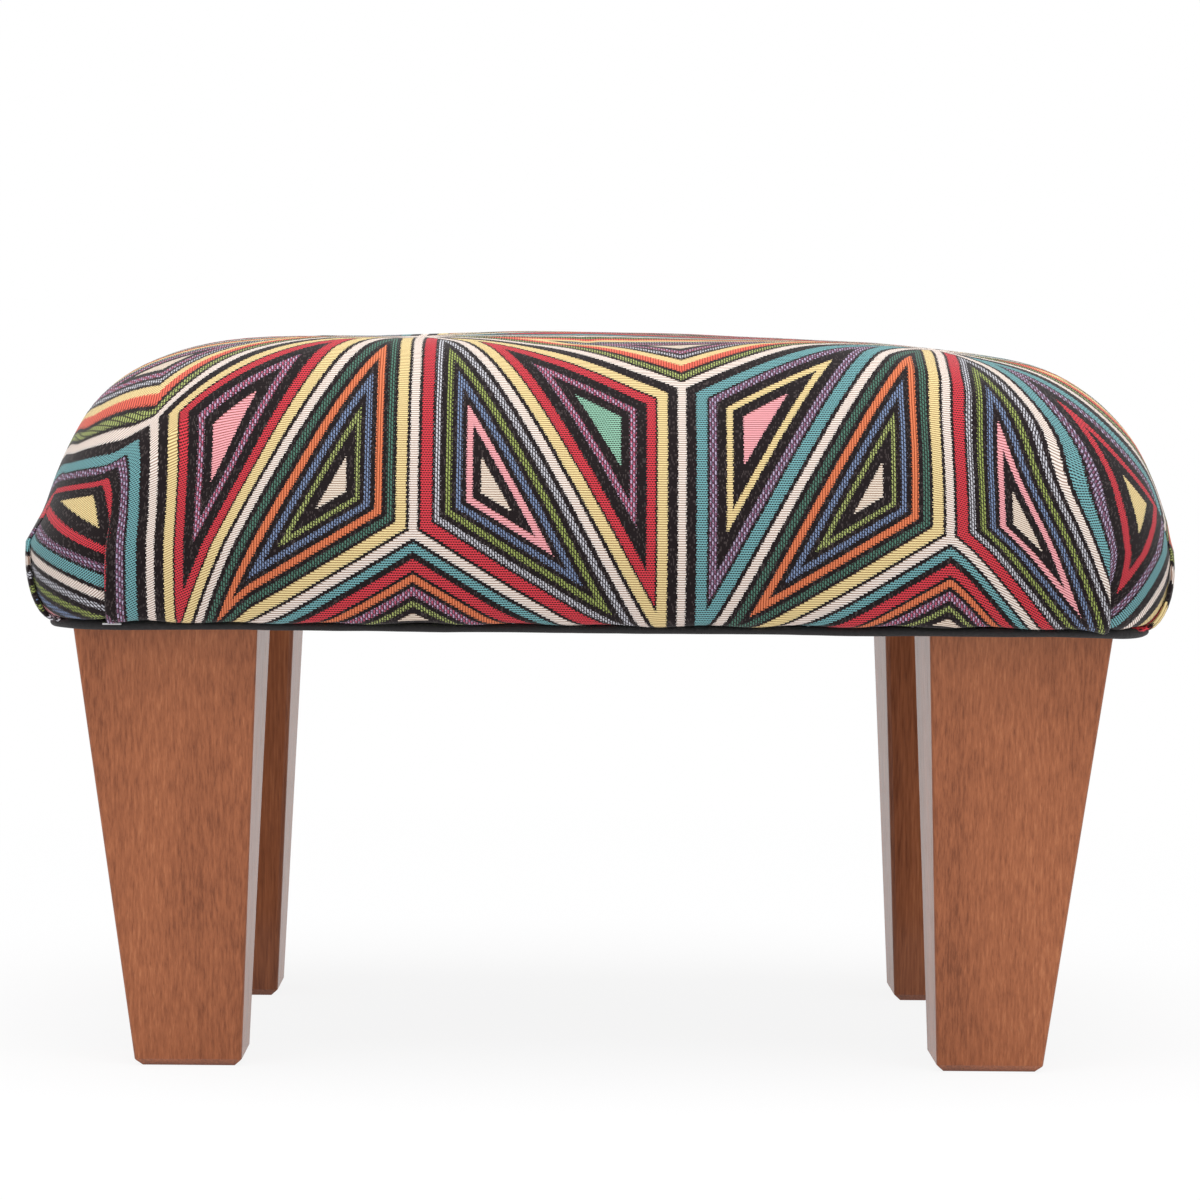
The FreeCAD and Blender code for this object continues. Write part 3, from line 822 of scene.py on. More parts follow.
def corner_place(j, side, front, piece):
    """The same for a point of a corner, at an angle from its long side."""
    half_x, half_y, radius, height = ring_table[j]
    run_x = half_x - radius
    run_y = half_y - radius
    inside = min(math.pi / 2, max(0.0, front))
    past = front * radius
    past_end = (math.pi / 2 - front) * radius
    drawn, dragged = pulled_side(past, height)
    from_front = np.array([run_x + past + drawn, WAY_Y[j] - dragged])
    drawn, dragged = pulled_side(past_end, height)
    from_end = np.array([WAY_X[j] - dragged, run_y + past_end + drawn])
    lower = (OWN_HEIGHT - height) * (OWN_HASTE if height > OWN_HEIGHT else 1.0)
    further = past - OWN_ROUND
    own = np.array([start + around * further + down * lower for start, around, down in OWN_CLOTH[side]])
    loose = np.array([
        run_x + (WAY_X[j] - run_x) * math.sin(inside) + min(0.0, past),
        run_y + (WAY_Y[j] - run_y) * math.cos(inside) + min(0.0, past_end),
    ])
    # Above a fold the pieces run into each other, and below it each keeps to itself
    front_fold, end_fold = FOLDS[side] if side % 4 == 1 else FOLDS[side][::-1]
    parted = eased((front_fold[1] + PARTED_ABOVE_FRONT - height) / PARTED_OVER)
    parted_end = eased((end_fold[1] + PARTED_ABOVE_END - height) / PARTED_OVER)
    into_corner = eased((past - INTO_CORNER_FROM) / INTO_CORNER_OVER)
    into_end = eased((math.degrees(front) - INTO_END_FROM) / INTO_END_OVER) * (1 - parted_end)
    along_front = (piece == "first") == (side % 4 == 1)
    if piece == "corner":
        into_corner += (1 - into_corner) * parted
    elif along_front:
        into_corner *= 1 - parted
    else:
        into_end += (1 - into_end) * parted_end
    place = from_front + (own - from_front) * into_corner
    place += (from_end - place) * into_end
    return loose + (place - loose) * pulled_at(height)


def cloth_place(j, side, share, piece):
    """A point's place on the flat cloth, in millimetres."""
    half_x, half_y, radius, height = ring_table[j]
    turned = -1 if side > 3 else 1
    if side % 4 == 0:
        run = half_x - radius
        x, y = straight_place(run * (2 * share - 1), run, WAY_Y[j], height)
        return turned * x, -turned * y
    if side % 4 == 2:
        run = half_y - radius
        y, x = straight_place(run * (2 * share - 1), run, WAY_X[j], height)
        return turned * x, turned * y
    flip = -1 if side % 4 == 1 else 1
    front = (share if side % 4 == 1 else 1 - share) * math.pi / 2
    x, y = corner_place(j, side, front, piece)
    return turned * x, turned * flip * y


def lay_cloth(made):
    """Writes the cloth places to the cover's UV map, in metres."""
    layer = made.data.uv_layers.new(name="cloth")
    around = len(cover_columns)
    for face in made.data.polygons:
        places = [divmod(v, around) for v in face.vertices]
        crosses = any(j < len(COVER_RINGS) and spots[j][i][2] == "corner" for j, i in places)
        for loop, (j, i) in zip(face.loop_indices, places):
            if j == len(COVER_RINGS):
                continue
            side, share, piece = spots[j][i]
            x, y = cloth_place(j, side, share, "corner" if crosses and piece != "side" else piece)
            layer.data[loop].uv = (x * MM, y * MM)


cover = skin("woven_cover", cover_grid)
lay_cloth(cover)
print("cloth is", round(2 * WAY_X[0]), "x", round(2 * WAY_Y[0]), "mm before it is pulled over")

# %% Thickness of the cloth
COVER_CLOTH = 1.2
only(cover)
wall = cover.modifiers.new("wall", "SOLIDIFY")
wall.thickness = COVER_CLOTH * MM
wall.offset = -1
bpy.ops.object.modifier_apply(modifier="wall")
smooth(cover)
print("cover has", len(cover.data.polygons), "faces")

# %% [markdown]
# ## The woven pattern
# The cloth is a jacquard: rows of six-pointed stars on a triangular net, an old pattern known as the hemp
# leaf. White lines join the stars and meet between them in threes, and every slim triangle that they bound
# is filled with nested coloured bands. One rule draws it all. Each point knows how near it is to the long
# side and to the two short sides of its slim triangle, and that distance picks the band. Which triangle it
# is picks the order of colours.

# %% Yarn colours and band orders
# Codes of the weaves, and how far a code reaches either side
GROUND, RIBS, CORDS, BRICKS, STRANDS, TWO_TONE = 0.0, 0.2, 0.4, 0.6, 0.8, 1.0
HALF_CODE = 0.1
YARNS = {
    "ink": ((25, 17, 19), GROUND),
    "chalk": ((249, 238, 229), RIBS),
    "cream": ((240, 226, 209), RIBS),
    "straw": ((247, 226, 164), RIBS),
    "red": ((232, 66, 79), BRICKS),
    "teal": ((122, 184, 189), BRICKS),
    "sea": ((154, 210, 183), BRICKS),
    "forest": ((80, 126, 109), STRANDS),
    "coral": ((232, 106, 86), CORDS),
    "orange": ((230, 128, 86), CORDS),
    "blue": ((128, 149, 186), STRANDS),
    "leaf": ((174, 186, 110), STRANDS),
    "olive": ((162, 177, 95), STRANDS),
    "slate": ((211, 211, 219), STRANDS),
    "pink": ((255, 178, 186), RIBS),
    "violet": ((138, 88, 116), TWO_TONE),
    "plum": ((191, 88, 118), TWO_TONE),
}
# Bands from a white line inwards, each with the distance in millimetres where it starts
BANDS = {
    "left_of_up": [
        (0, "ink"), (2.3, "straw"), (5.9, "ink"), (6.8, "forest"), (9.2, "ink"), (10.5, "orange"),
        (13.0, "ink"), (14.5, "blue"), (16.6, "ink"), (18.0, "leaf"), (19.8, "ink"), (22.5, "cream"),
    ],
    "right_of_up": [
        (0, "ink"), (2.3, "red"), (6.1, "ink"), (6.8, "slate"), (8.9, "ink"), (10.5, "olive"),
        (12.6, "ink"), (14.0, "blue"), (16.1, "ink"), (17.5, "pink"), (19.8, "ink"), (22.4, "cream"),
    ],
    "foot_of_up": [
        (0, "ink"), (2.4, "teal"), (5.0, "ink"), (6.9, "red"), (10.2, "ink"), (11.1, "orange"),
        (13.5, "ink"), (14.6, "plum"), (17.2, "ink"), (18.6, "leaf"), (20.5, "ink"), (22.4, "cream"),
    ],
    "head_of_down": [
        (0, "ink"), (2.2, "leaf"), (4.6, "ink"), (5.6, "coral"), (9.0, "straw"), (11.8, "ink"),
        (12.8, "slate"), (14.8, "ink"), (15.9, "plum"), (18.5, "ink"), (21.0, "cream"),
    ],
    "right_of_straw_star": [
        (0, "ink"), (4.7, "straw"), (8.3, "ink"), (8.8, "red"), (11.9, "ink"), (15.3, "plum"),
        (17.6, "ink"), (20.5, "sea"),
    ],
    "left_of_straw_star": [
        (0, "ink"), (4.7, "straw"), (8.3, "ink"), (8.8, "red"), (11.9, "ink"), (15.3, "plum"),
        (17.6, "ink"), (20.6, "pink"),
    ],
    "left_of_teal_star": [
        (0, "ink"), (4.7, "teal"), (8.5, "ink"), (9.1, "violet"), (11.8, "ink"), (14.9, "straw"),
        (17.1, "ink"), (20.6, "pink"),
    ],
    "right_of_teal_star": [
        (0, "ink"), (4.7, "teal"), (8.5, "ink"), (9.1, "violet"), (11.8, "ink"), (14.9, "red"),
        (17.4, "ink"), (21.2, "straw"),
    ],
}
BAND_SPAN = 26.0
DRAWN_SPACING = 180.0
STAR_SPACING = 175.0
ROW_STRETCH = 1.05
STAR_X = -61.2
JUNCTION_HEIGHT = 180.0
LINE_HALF = 1.45
LINE_EDGE = 2.25
SAME = 0.00001
NET_HEIGHT = STAR_SPACING * math.sqrt(0.75)
# The junction below a star is on the front at a measured height, which places its row of stars
front_way = np.interp(JUNCTION_HEIGHT, ring_table[len(FLANGE) :, 3], WAY_Y[len(FLANGE) :])
STAR_Y = -front_way + NET_HEIGHT * 2 / 3 * ROW_STRETCH
print("a row of stars lies", round(STAR_Y), "mm behind the middle of the cloth")

# %% Bands by their distance
# Height of a row of the weave, and step of a slanting edge along it
RIB = 0.78
STEP = 0.55
RAGGED = 0.4
# A row is full at this share of its height and this much either side, and pinched in beyond
FULL_AT = 0.4
FULL_HALF = 0.05
PINCH = 0.68
# Along a long side the first bands are narrower, so the order starts a little way in and runs slower
UP_SKIPPED, UP_SLOWER = 4.05, 0.07
DOWN_SKIPPED, DOWN_SLOWER = 2.2, 0.04


def band_ramp(cloth, distance, pinch, bands):
    """A band's colour, and its weave from the ramp's alpha, which is 0 where a row's end is pinched in."""
    stops = []
    for start, yarn in bands:
        colour, weave = YARNS[yarn]
        stops.append((start / BAND_SPAN, (*tone(*colour)[:3], weave)))
    inner = (distance + pinch) / BAND_SPAN
    outer = (distance - pinch) / BAND_SPAN
    colour = cloth.ramp(inner, stops, "CONSTANT")
    weave = cloth.ramp(inner, stops, "CONSTANT", output=1)
    return colour, weave * (cloth.ramp(outer, stops, "CONSTANT", output=1) > HALF_CODE)


def nearest_sides(across, down):
    """Distances in the star net, and masks that tell the slim triangles apart."""
    row = (down - STAR_Y) / (NET_HEIGHT * ROW_STRETCH)
    step = (across - STAR_X) / STAR_SPACING - row * 0.5
    in_step = step % 1.0
    in_row = row % 1.0
    up = (in_step + in_row) < 1.0
    first = up * in_step + (1 - up) * (1 - in_step)
    second = up * in_row + (1 - up) * (1 - in_row)
    third = 1 - first - second
    low = first.math("MINIMUM", second)
    high = first.math("MAXIMUM", second)
    least = low.math("MINIMUM", third)
    middle = low.math("MAXIMUM", high.math("MINIMUM", third))
    by_second = (second - least) < SAME
    by_first = ((first - least) < SAME) * (1 - by_second)
    even = (step.math("FLOOR") % 2.0) < 0.5
    to_long = least * NET_HEIGHT
    to_short = (middle - least) * (NET_HEIGHT / math.sqrt(3))
    return to_long, to_short, up, by_first, by_second, even


def banded(cloth, across, row, in_row):
    """The colour and the weave of the yarn that shows at a place of a row."""
    # A yarn shows for a whole step of a whole row, so the slanting edges are stairs, a little ragged. A
    # row is fullest along its middle, so its ends are pinched in towards the next row
    pinch = (abs(in_row - FULL_AT) - FULL_HALF).math("MAXIMUM", 0.0) * PINCH
    ragged = cloth.node("ShaderNodeTexWhiteNoise", {"noise_dimensions": "1D"}, {"W": row})
    shift = (row % 2.0) * 0.5 + ragged * RAGGED
    column = (across / STEP + shift).math("FLOOR")
    place = ((column - shift + 0.5) * STEP, (row + 0.5) * RIB)
    to_long, to_short, up, by_first, by_second, even = nearest_sides(*place)
    side_of_up = up * (1 - by_second)
    side_of_down = (1 - up) * (1 - by_second)
    skipped = side_of_up * UP_SKIPPED + side_of_down * DOWN_SKIPPED
    slower = 1 - side_of_up * UP_SLOWER - side_of_down * DOWN_SLOWER
    drawn_scale = DRAWN_SPACING / STAR_SPACING
    inwards = (to_short * drawn_scale).math("MINIMUM", to_long * slower * drawn_scale + skipped)
    masks = {
        "right_of_up": up * (1 - by_first) * (1 - by_second),
        "foot_of_up": up * by_second,
        "head_of_down": (1 - up) * by_second,
        "left_of_straw_star": side_of_down * by_first * (1 - even),
        "right_of_straw_star": side_of_down * (1 - by_first) * even,
        "left_of_teal_star": side_of_down * by_first * even,
        "right_of_teal_star": side_of_down * (1 - by_first) * (1 - even),
    }
    colour, weave = band_ramp(cloth, inwards, pinch, BANDS["left_of_up"])
    for name, mask in masks.items():
        next_colour, next_weave = band_ramp(cloth, inwards, pinch, BANDS[name])
        colour = cloth.mix(mask, colour, next_colour)
        weave = weave + (next_weave - weave) * mask
    nearest = to_short.math("MINIMUM", to_long)
    line = (nearest + pinch) < LINE_HALF
    weave = weave * ((nearest - pinch) > LINE_EDGE) + line * RIBS
    colour = cloth.mix(weave < HALF_CODE, colour, tone(*YARNS["ink"][0]))
    return cloth.mix(line, colour, tone(*YARNS["chalk"][0])), weave


print(len(YARNS), "yarns in", len(BANDS), "orders of bands")

# %% The cloth's finish
# Width of a strand along a row, length of its twist, and length of a speck in the ground
STRAND = 0.86
TWIST = 1.7
SPECK = 0.35
WANDER = 0.35
WANDER_SCALE = 90.0
FUZZ_SCALE = 1900.0
# Shares of a row or a strand where the yarn ends: grooves past a row or a cord get painted shade, dashes and
# gaps show dark yarn
ROW_ENDS = 0.58
DASH_STARTS, DASH_LENGTH = 0.46, 0.62
CORD_ENDS = 0.62
STRAND_ENDS = 0.55
TWIST_GAP = 0.26
# Painted shade: the colour that the grooves between rows and between cords are multiplied by
PAINTED_GROOVE_SHADE = tone(150, 118, 98)
GAP_SHADE = tone(36, 25, 26)
SPECK_SHADE = tone(122, 110, 108)
FUZZ_SHADE = tone(48, 36, 34)
PALE_STRAND = tone(212, 205, 237)


def enlarged(cloth, where, scale):
    return cloth.node("ShaderNodeVectorMath", {"operation": "SCALE"}, {0: where, "Scale": scale})


def woven_cloth():
    cloth = Finish("hemp_leaf_jacquard")
    where = cloth.node("ShaderNodeUVMap", {"uv_map": "cloth"})
    parts = cloth.node("ShaderNodeSeparateXYZ", None, {0: where})
    down = Flow(cloth, parts.socket.node.outputs[1]) / MM
    wander = cloth.grain(enlarged(cloth, where, WANDER_SCALE))
    across = parts / MM + (wander - 0.5) * WANDER
    row = (down / RIB).math("FLOOR")
    in_row = (down / RIB) % 1.0
    colour, weave = banded(cloth, across, row, in_row)
    # How each weave breaks its colour up: painted groove shade between rows or cords, dashes in brick order,
    # and strands
    along_row = across / STRAND
    in_strand = along_row % 1.0
    strand = along_row.math("FLOOR")
    between_rows = in_row > ROW_ENDS
    dash = (in_row > DASH_STARTS) * ((along_row + (row % 2.0) * 0.5) % 1.0 < DASH_LENGTH)
    twist = (down / TWIST + (strand % 2.0) * 0.5 + in_strand * 0.4) % 1.0
    strand_gap = ((in_strand > STRAND_ENDS) * 0.96).math("MAXIMUM", (twist < TWIST_GAP) * 0.85)
    codes = (RIBS, CORDS, BRICKS, STRANDS)
    woven = {code: (weave > code - HALF_CODE) * (weave < code + HALF_CODE) for code in codes}
    two_tone = weave > TWO_TONE - HALF_CODE
    # Where the grooves between rows and between cords get painted shade
    painted_groove_shading = (woven[RIBS] * 0.85 + woven[BRICKS] * 0.6) * between_rows
    painted_groove_shading = painted_groove_shading + woven[CORDS] * (in_strand > CORD_ENDS) * 0.9
    gap = woven[BRICKS] * dash * 0.95 + woven[STRANDS] * strand_gap + two_tone * strand_gap * 0.9
    pale = (strand + (row / 2).math("FLOOR")) % 2.0
    colour = cloth.mix(two_tone * pale * 0.62, colour, PALE_STRAND)
    # Painted shade in those grooves, multiplied into the yarn's own colour
    colour = cloth.mix(painted_groove_shading, colour, PAINTED_GROOVE_SHADE, "MULTIPLY")
    colour = cloth.mix(gap, colour, GAP_SHADE)
    cell = cloth.node("ShaderNodeCombineXYZ", None, {0: (across / SPECK).math("FLOOR"), 1: row})
    speck = cloth.node("ShaderNodeTexWhiteNoise", {"noise_dimensions": "2D"}, {"Vector": cell})
    colour = cloth.mix((weave < HALF_CODE) * (speck > 0.86) * 0.22, colour, SPECK_SHADE)
    fuzz = cloth.grain(enlarged(cloth, where, FUZZ_SCALE))
    cloth.set(base_color=cloth.mix(fuzz * 0.1, colour, FUZZ_SHADE))
    cloth.set(roughness=0.84 + fuzz * 0.12, specular_ior_level=0.12)
    cloth.set(sheen_weight=0.15, sheen_roughness=0.5)
    round_row = 1 - abs(in_row - 0.36) * 1.4
    round_strand = (1 - abs(in_strand - 0.35) * 1.4) * (weave > STRANDS - HALF_CODE)
    cloth.bump((1 - gap) * 0.6 + round_row * 0.3 + round_strand * 0.3 + fuzz * 0.15, 0.0003, 0.6)
    return cloth.material


jacquard = woven_cloth()
finish_piece(cover, jacquard, "cover_cloth", "seat_cover")
print("the pattern's finish has", len(jacquard.node_tree.nodes), "nodes")

# %% [markdown]
# ## Wadding and foam
# Under the cover lies a blanket of pale wadding over a block of foam. They are the same form, set in.
# Neither shows on the finished stool, but both are there when it is taken apart.

# %% Wadding and foam


def soft_stuff(name, pale, dark, scale, depth):
    stuff = Finish(name)
    tuft = stuff.grain(stuff.place((scale, scale, scale)), 5.0, 0.7)
    stuff.set(base_color=stuff.ramp(tuft, [(0.3, dark), (0.65, pale)]))
    stuff.set(roughness=0.9, sheen_weight=0.2)
    stuff.bump(tuft, depth, 0.8)
    return stuff.material


WADDING_INSET = 3.6
WADDING_THICKNESS = 5.2
WADDING_TUCK = 66
TUCK_RINGS_IN = 6
SHOULDER_RINGS_IN = 16
FOAM_INSET = 9.6
FOAM_RINGS_IN = 14
inner_crown = CROWN_SHARES[::2]
tuck_angles = [WADDING_TUCK * (1 - i / TUCK_RINGS_IN) for i in range(TUCK_RINGS_IN)]
shoulder_angles = [SHOULDER_END * i / SHOULDER_RINGS_IN for i in range(SHOULDER_RINGS_IN + 1)]
wadding_rings = [tuck_ring(angle, WADDING_INSET) for angle in tuck_angles]
wadding_rings += [shoulder_ring(angle, WADDING_INSET) for angle in shoulder_angles]
wadding_rings += [crown_ring(share, WADDING_INSET) for share in inner_crown]
wadding = skin("wadding_blanket", settle([ring_points(ring, COLUMNS) for ring in wadding_rings]))
only(wadding)
blanket = wadding.modifiers.new("blanket", "SOLIDIFY")
blanket.thickness = WADDING_THICKNESS * MM
blanket.offset = -1
bpy.ops.object.modifier_apply(modifier="blanket")
smooth(wadding)
fleece = soft_stuff("wadding_fleece", tone(246, 246, 242), tone(222, 222, 216), 260, 0.0012)
finish_piece(wadding, fleece, "wadding", "wadding_layer")

# The foam starts where the form reaches the top of the deck
foam_start = math.degrees(math.asin((deck_high.z - WIDEST) / (SHOULDER_RISE - FOAM_INSET)))
foam_step = (SHOULDER_END - foam_start) / FOAM_RINGS_IN
foam_rings = [shoulder_ring(foam_start + foam_step * i, FOAM_INSET) for i in range(FOAM_RINGS_IN + 1)]
foam_rings += [crown_ring(share, FOAM_INSET) for share in inner_crown]
foam = skin("foam_block", settle([ring_points(ring, COLUMNS) for ring in foam_rings]), close_bottom=True)
smooth(foam)
cells = soft_stuff("foam_cells", tone(238, 226, 178), tone(204, 186, 132), 700, 0.0006)
finish_piece(foam, cells, "foam", "foam_pad")
print("padding:", len(wadding.data.polygons), "and", len(foam.data.polygons), "faces")

# %% [markdown]
# ## The dust cover
# Black pressed cloth closes the seat underneath. Its edge is folded back on itself and stapled, which
# leaves a soft rolled hem that shows as a dark band under the cover. It was pulled on by hand: it waves,
# and it droops at a corner.

# %% Rings of the dust cover
HEM_SETBACK = 8.5
HEM_WIDTH = 10.0
HEM_DROP = 2.8
HEM_SHIFT = 2.2
DUST_CLOTH = 0.3
LOOSER_CORNER = 4.0
SHEET_SHARES = (0.9, 0.78, 0.64, 0.5, 0.36, 0.22, 0.1, 0.02)
hem_x = SEAT_X - HEM_SETBACK
hem_y = SEAT_Y - HEM_SETBACK
hem_corner = CORNER - HEM_SETBACK + LOOSER_CORNER
SHEET_LEVEL = UNDERSIDE - DUST_CLOTH
hem_foot = UNDERSIDE - HEM_DROP


def hem_ring(inset, height):
    return hem_x - inset, hem_y - inset, max(hem_corner - inset, 1.0), height


# How far in and how high the hem is, from its raw edge round its face and back to the flat sheet
hem_profile = [
    (HEM_WIDTH - 1, UNDERSIDE - 0.35), (8, UNDERSIDE - 0.3), (4, UNDERSIDE - 0.3), (1.6, UNDERSIDE - 0.4),
    (0.6, UNDERSIDE - 0.75), (0.1, UNDERSIDE - 1.25), (0.0, UNDERSIDE - 1.7), (0.35, UNDERSIDE - 2.25),
    (1.1, hem_foot + 0.15), (2.4, hem_foot), (5, hem_foot + 0.05), (7.0, hem_foot), (8.8, hem_foot + 0.15),
    (9.7, hem_foot + 0.7), (10.2, SHEET_LEVEL - 0.45), (11.2, SHEET_LEVEL - 0.1), (15, SHEET_LEVEL),
]
dust_rings = [hem_ring(inset, height) for inset, height in hem_profile]
edge_x, edge_y, edge_corner, _ = dust_rings[-1]
dust_rings += [(edge_x * s, edge_y * s, max(edge_corner * s, 0.4), SHEET_LEVEL) for s in SHEET_SHARES]
dust_grid = np.array([ring_points(ring, COLUMNS) for ring in dust_rings])
# It was put on a little to the right, as the cover was
dust_grid[:, :, 0] += HEM_SHIFT
ON_FACE, ON_SHEET = 4, len(hem_profile) - 1
outwards = dust_grid[ON_FACE] - dust_grid[ON_SHEET]
outwards[:, 2] = 0
outwards /= np.linalg.norm(outwards, axis=1, keepdims=True)
print(len(dust_rings), "rings in the dust cover")

# %% Waves in the hem and sag in the sheet
# Length and depth of the hem's waves, and where in the noise they are read
WAVES = ((34, 0.55, 2.0), (11, 0.2, 5.0))
# X, Y, spread and depth of a droop near each front corner
DROOPS = ((-172, -128, 900, 1.1), (181, -126, 260, 1.3))
WAVE_GROWTH = 1.6
WAVE_DOWN = 0.6
WAVE_OUT = 0.5
# Half length, half width and share of two oblongs that the sheet sags in, clear of the blocks
SLACK = ((108, 118, 1.0), (165, 56, 0.8))
SAG = 2.2


def hem_wave(x, y):
    """How far the hem droops at a place, in millimetres."""
    wave = sum(noise.noise(Vector((x / length, y / length, at))) * depth for length, depth, at in WAVES)
    for middle_x, middle_y, spread, depth in DROOPS:
        wave -= math.exp(-((x - middle_x) ** 2 + (y - middle_y) ** 2) / spread) * depth
    return wave


def hill(place, half):
    """1 in the middle and 0 from half a width on."""
    return max(0.0, 1 - (place / half) ** 2)


for j in range(len(hem_profile)):
    in_hem = min(1.0, max(0.0, (SHEET_LEVEL - dust_rings[j][3]) / WAVE_GROWTH))
    for i in range(len(COLUMNS)):
        wave = hem_wave(*dust_grid[j, i, :2]) * in_hem
        dust_grid[j, i, 2] += wave * WAVE_DOWN
        dust_grid[j, i] += outwards[i] * wave * WAVE_OUT
for j in range(len(hem_profile), len(dust_rings)):
    for i in range(len(COLUMNS)):
        x, y, _ = dust_grid[j, i]
        dust_grid[j, i, 2] -= SAG * max(hill(x, long) * hill(y, wide) * share for long, wide, share in SLACK)
dust = skin("dust_cover_cloth", dust_grid)
only(dust)
bpy.ops.object.mode_set(mode="EDIT")
bpy.ops.mesh.select_all(action="SELECT")
bpy.ops.mesh.normals_make_consistent(inside=False)
bpy.ops.object.mode_set(mode="OBJECT")
cloth_wall = dust.modifiers.new("wall", "SOLIDIFY")
cloth_wall.thickness = DUST_CLOTH * MM
cloth_wall.offset = 0
bpy.ops.object.modifier_apply(modifier="wall")
smooth(dust)
print("dust cover has", len(dust.data.polygons), "faces")

# %% Dust cover finish
FELT = [(0.3, tone(19, 17, 18)), (0.62, tone(36, 34, 35)), (0.8, tone(62, 59, 60))]


def pressed_cloth():
    felt = Finish("black_pressed_cloth")
    fibre = felt.grain(felt.place((900, 900, 900)), 4.0, 0.7)
    dimple = felt.node("ShaderNodeTexVoronoi", None, {"Vector": felt.place((850, 850, 850)), "Scale": 1.0})
    felt.set(base_color=felt.ramp(fibre, FELT))
    felt.set(roughness=0.8 + fibre * 0.15, sheen_weight=0.08)
    felt.bump(fibre * 0.5 + dimple * 0.5, 0.0003, 0.8)
    return felt.material


finish_piece(dust, pressed_cloth(), "dust_cloth", "dust_cover")

# %% [markdown]
# ## The loose staple
# At the drooping corner one staple missed the underside and sits in the face of the hem. It starts as a
# cube as long as the staple, which is narrowed to a wire, and its two ends are pulled back into the cloth.

# %% One staple on the hem's face
STAPLE_AT = (-157.0, -hem_y - 0.2, UNDERSIDE - 1.2)
STAPLE_LENGTH = 6.2
STAPLE_WIRE = 0.6
STAPLE_DEPTH = 2.5
STAPLE_EASE = 0.12
bend = (STAPLE_LENGTH / 2 - STAPLE_WIRE) * MM


def pick_faces(made, wanted):
    """Leaves a mesh in edit mode with only the faces selected that a test wants."""
    bpy.ops.object.mode_set(mode="EDIT")
    bpy.ops.mesh.select_mode(type="FACE")
    bpy.ops.mesh.select_all(action="DESELECT")
    bpy.ops.object.mode_set(mode="OBJECT")
    for face in made.data.polygons:
        face.select = wanted(face)
    bpy.ops.object.mode_set(mode="EDIT")


bpy.ops.object.select_all(action="DESELECT")
bpy.ops.mesh.primitive_cube_add(size=1)
stray = bpy.context.object
stray.name = "hem_face_staple"
bpy.ops.object.mode_set(mode="EDIT")
bpy.ops.transform.resize(value=(STAPLE_LENGTH * MM, STAPLE_WIRE * MM, STAPLE_WIRE * MM))
for side in (-1, 1):
    bpy.ops.mesh.select_all(action="SELECT")
    bpy.ops.mesh.bisect(plane_co=(side * bend, 0, 0), plane_no=(1, 0, 0))
bpy.ops.object.mode_set(mode="OBJECT")
pick_faces(stray, lambda face: face.normal.y > 0.9 and abs(face.center.x) > bend)
bpy.ops.mesh.extrude_region_move(TRANSFORM_OT_translate={"value": (0, STAPLE_DEPTH * MM, 0)})
bpy.ops.mesh.select_all(action="SELECT")
bpy.ops.transform.translate(value=tuple(v * MM for v in STAPLE_AT))
bpy.ops.mesh.normals_make_consistent(inside=False)
bpy.ops.object.mode_set(mode="OBJECT")
soften = stray.modifiers.new("soften", "BEVEL")
soften.width = STAPLE_EASE * MM
soften.segments = 2
bpy.ops.object.modifier_apply(modifier="soften")
finish_piece(stray, staple_steel, "staple_steel")
print("stray staple has", len(stray.data.polygons), "faces")

# %% [markdown]
# ## Floor, light and background
# The picture is a bright studio cut-out: white all round, with a faint soft shadow under the stool. The
# floor and the world show plain white to the camera and to reflections, and only light the stool at a
# plain level otherwise. The floor keeps a share of its lit surface, so the shadow stays.

# %% Floor
FLOOR_WIDTH = 12
# How white the floor shows near the stool, and from where to where it fades to plain white, in metres
NEAR_WHITE = 0.88
FADE_FROM = 0.3
FADE_OVER = 0.6
bpy.ops.object.select_all(action="DESELECT")
bpy.ops.mesh.primitive_plane_add(size=FLOOR_WIDTH)
floor = bpy.context.object
floor.name = "studio_floor"


def seen_directly(finish):
    """1 where the camera, a reflection or a see-through surface looks, and 0 for plain light."""
    path = finish.node("ShaderNodeLightPath")
    outputs = path.socket.node.outputs
    rays = [Flow(finish, outputs[name]) for name in ("Is Camera Ray", "Is Glossy Ray", "Is Transmission Ray")]
    return rays[0].math("MAXIMUM", rays[1]).math("MAXIMUM", rays[2])


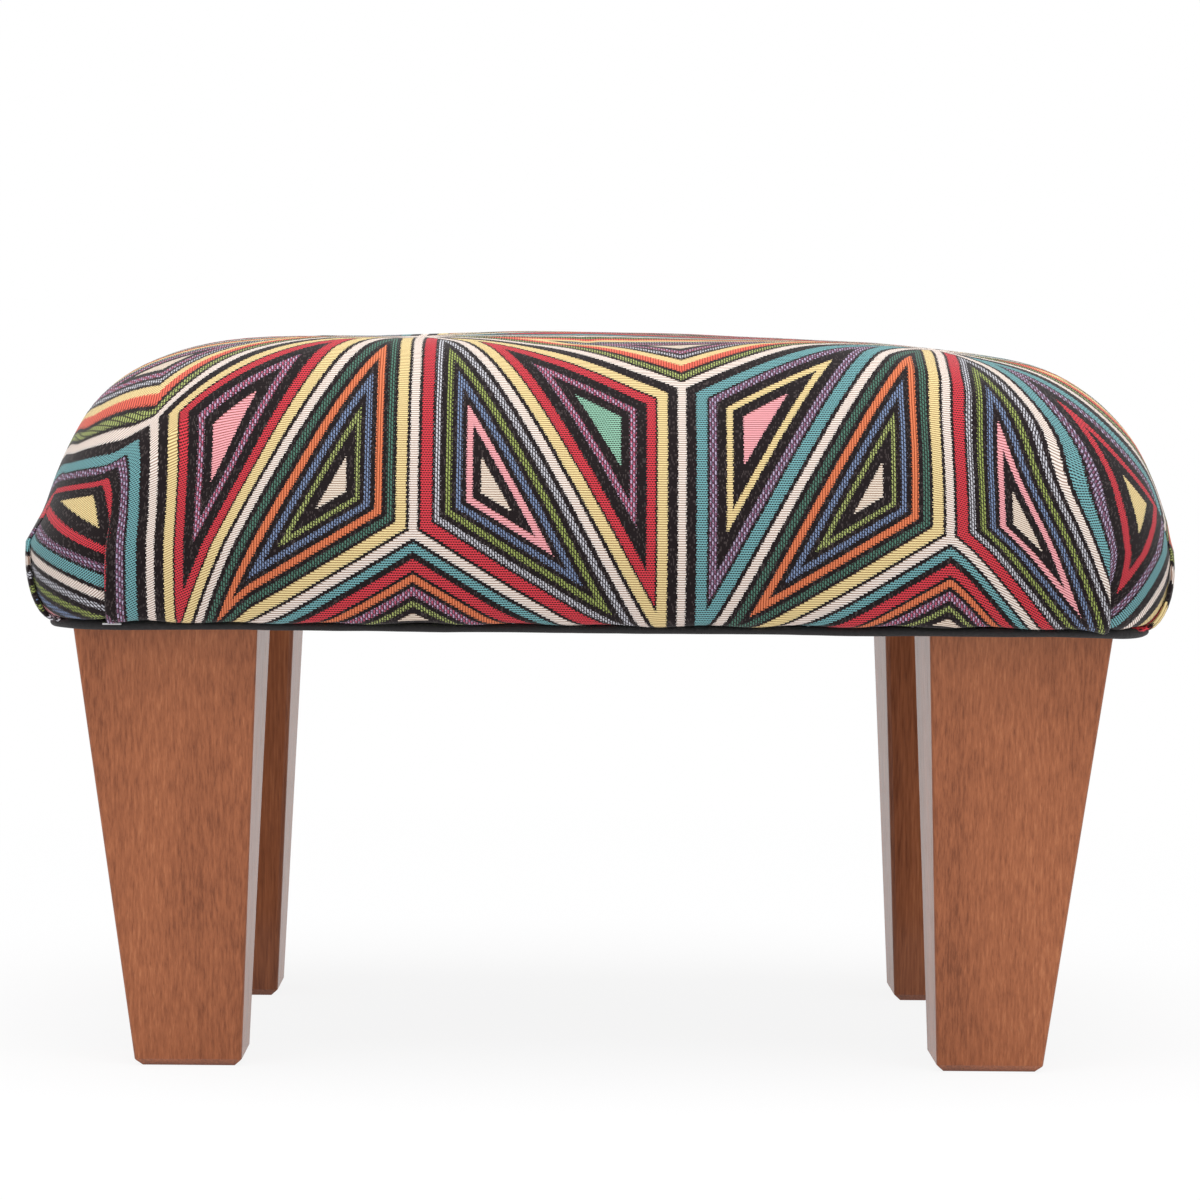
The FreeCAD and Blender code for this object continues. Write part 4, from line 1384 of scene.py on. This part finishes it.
paper = Finish("studio_paper")
mottle = paper.grain(paper.place((3, 3, 3)))
paper.set(base_color=paper.mix(mottle, tone(238, 238, 240), tone(242, 242, 244)))
paper.set(roughness=0.9, specular_ior_level=0.1)
glow = paper.node("ShaderNodeEmission", None, {"Color": (1, 1, 1, 1), "Strength": 1.0})
spread = paper.node("ShaderNodeVectorMath", {"operation": "LENGTH"}, {0: paper.place()}, output=1)
fade = ((spread - FADE_FROM) / FADE_OVER).math("MAXIMUM", 0.0).math("MINIMUM", 1.0)
white = seen_directly(paper) * (NEAR_WHITE + fade * (1 - NEAR_WHITE))
shown = paper.node("ShaderNodeMixShader", None, {0: white, 1: Flow(paper, paper.surface.outputs[0]), 2: glow})
paper.tree.links.new(shown.socket, paper.tree.nodes["Material Output"].inputs[0])
floor.data.materials.append(paper.material)
print("floor", floor.dimensions.x, "m wide")

# %% Light
SKY_LIGHT = 0.53
# Place and width in metres, and power in watts
SOFT_BOXES = {
    "left_soft_box": ((-1.2, -1.4, 1.5), 1.2, 3.5),
    "right_soft_box": ((1.3, -1.4, 1.6), 1.2, 4.5),
    "top_soft_box": ((0.0, -0.4, 1.9), 1.6, 31),
}
SEAT_MIDDLE = Vector((0, 0, 0.15))


class Sky(Finish):
    """The world's light, with a background as its surface."""

    def __init__(self, name):
        world = bpy.data.worlds.new(name)
        world.use_nodes = True
        bpy.context.scene.world = world
        self.tree = world.node_tree
        self.surface = self.tree.nodes["Background"]


def soft_box(name, place, size, power):
    """A large square lamp that looks at the seat."""
    aim = (SEAT_MIDDLE - Vector(place)).to_track_quat("-Z", "Y").to_euler()
    bpy.ops.object.light_add(type="AREA", location=place, rotation=aim)
    lamp = bpy.context.object
    lamp.name = name
    lamp.data.shape = "SQUARE"
    lamp.data.size = size
    lamp.data.energy = power


studio = Sky("studio")
studio.set(color=(1, 1, 1, 1), strength=SKY_LIGHT + seen_directly(studio) * (1 - SKY_LIGHT))
for name, box in SOFT_BOXES.items():
    soft_box(name, *box)
bpy.context.scene.view_settings.view_transform = "Standard"
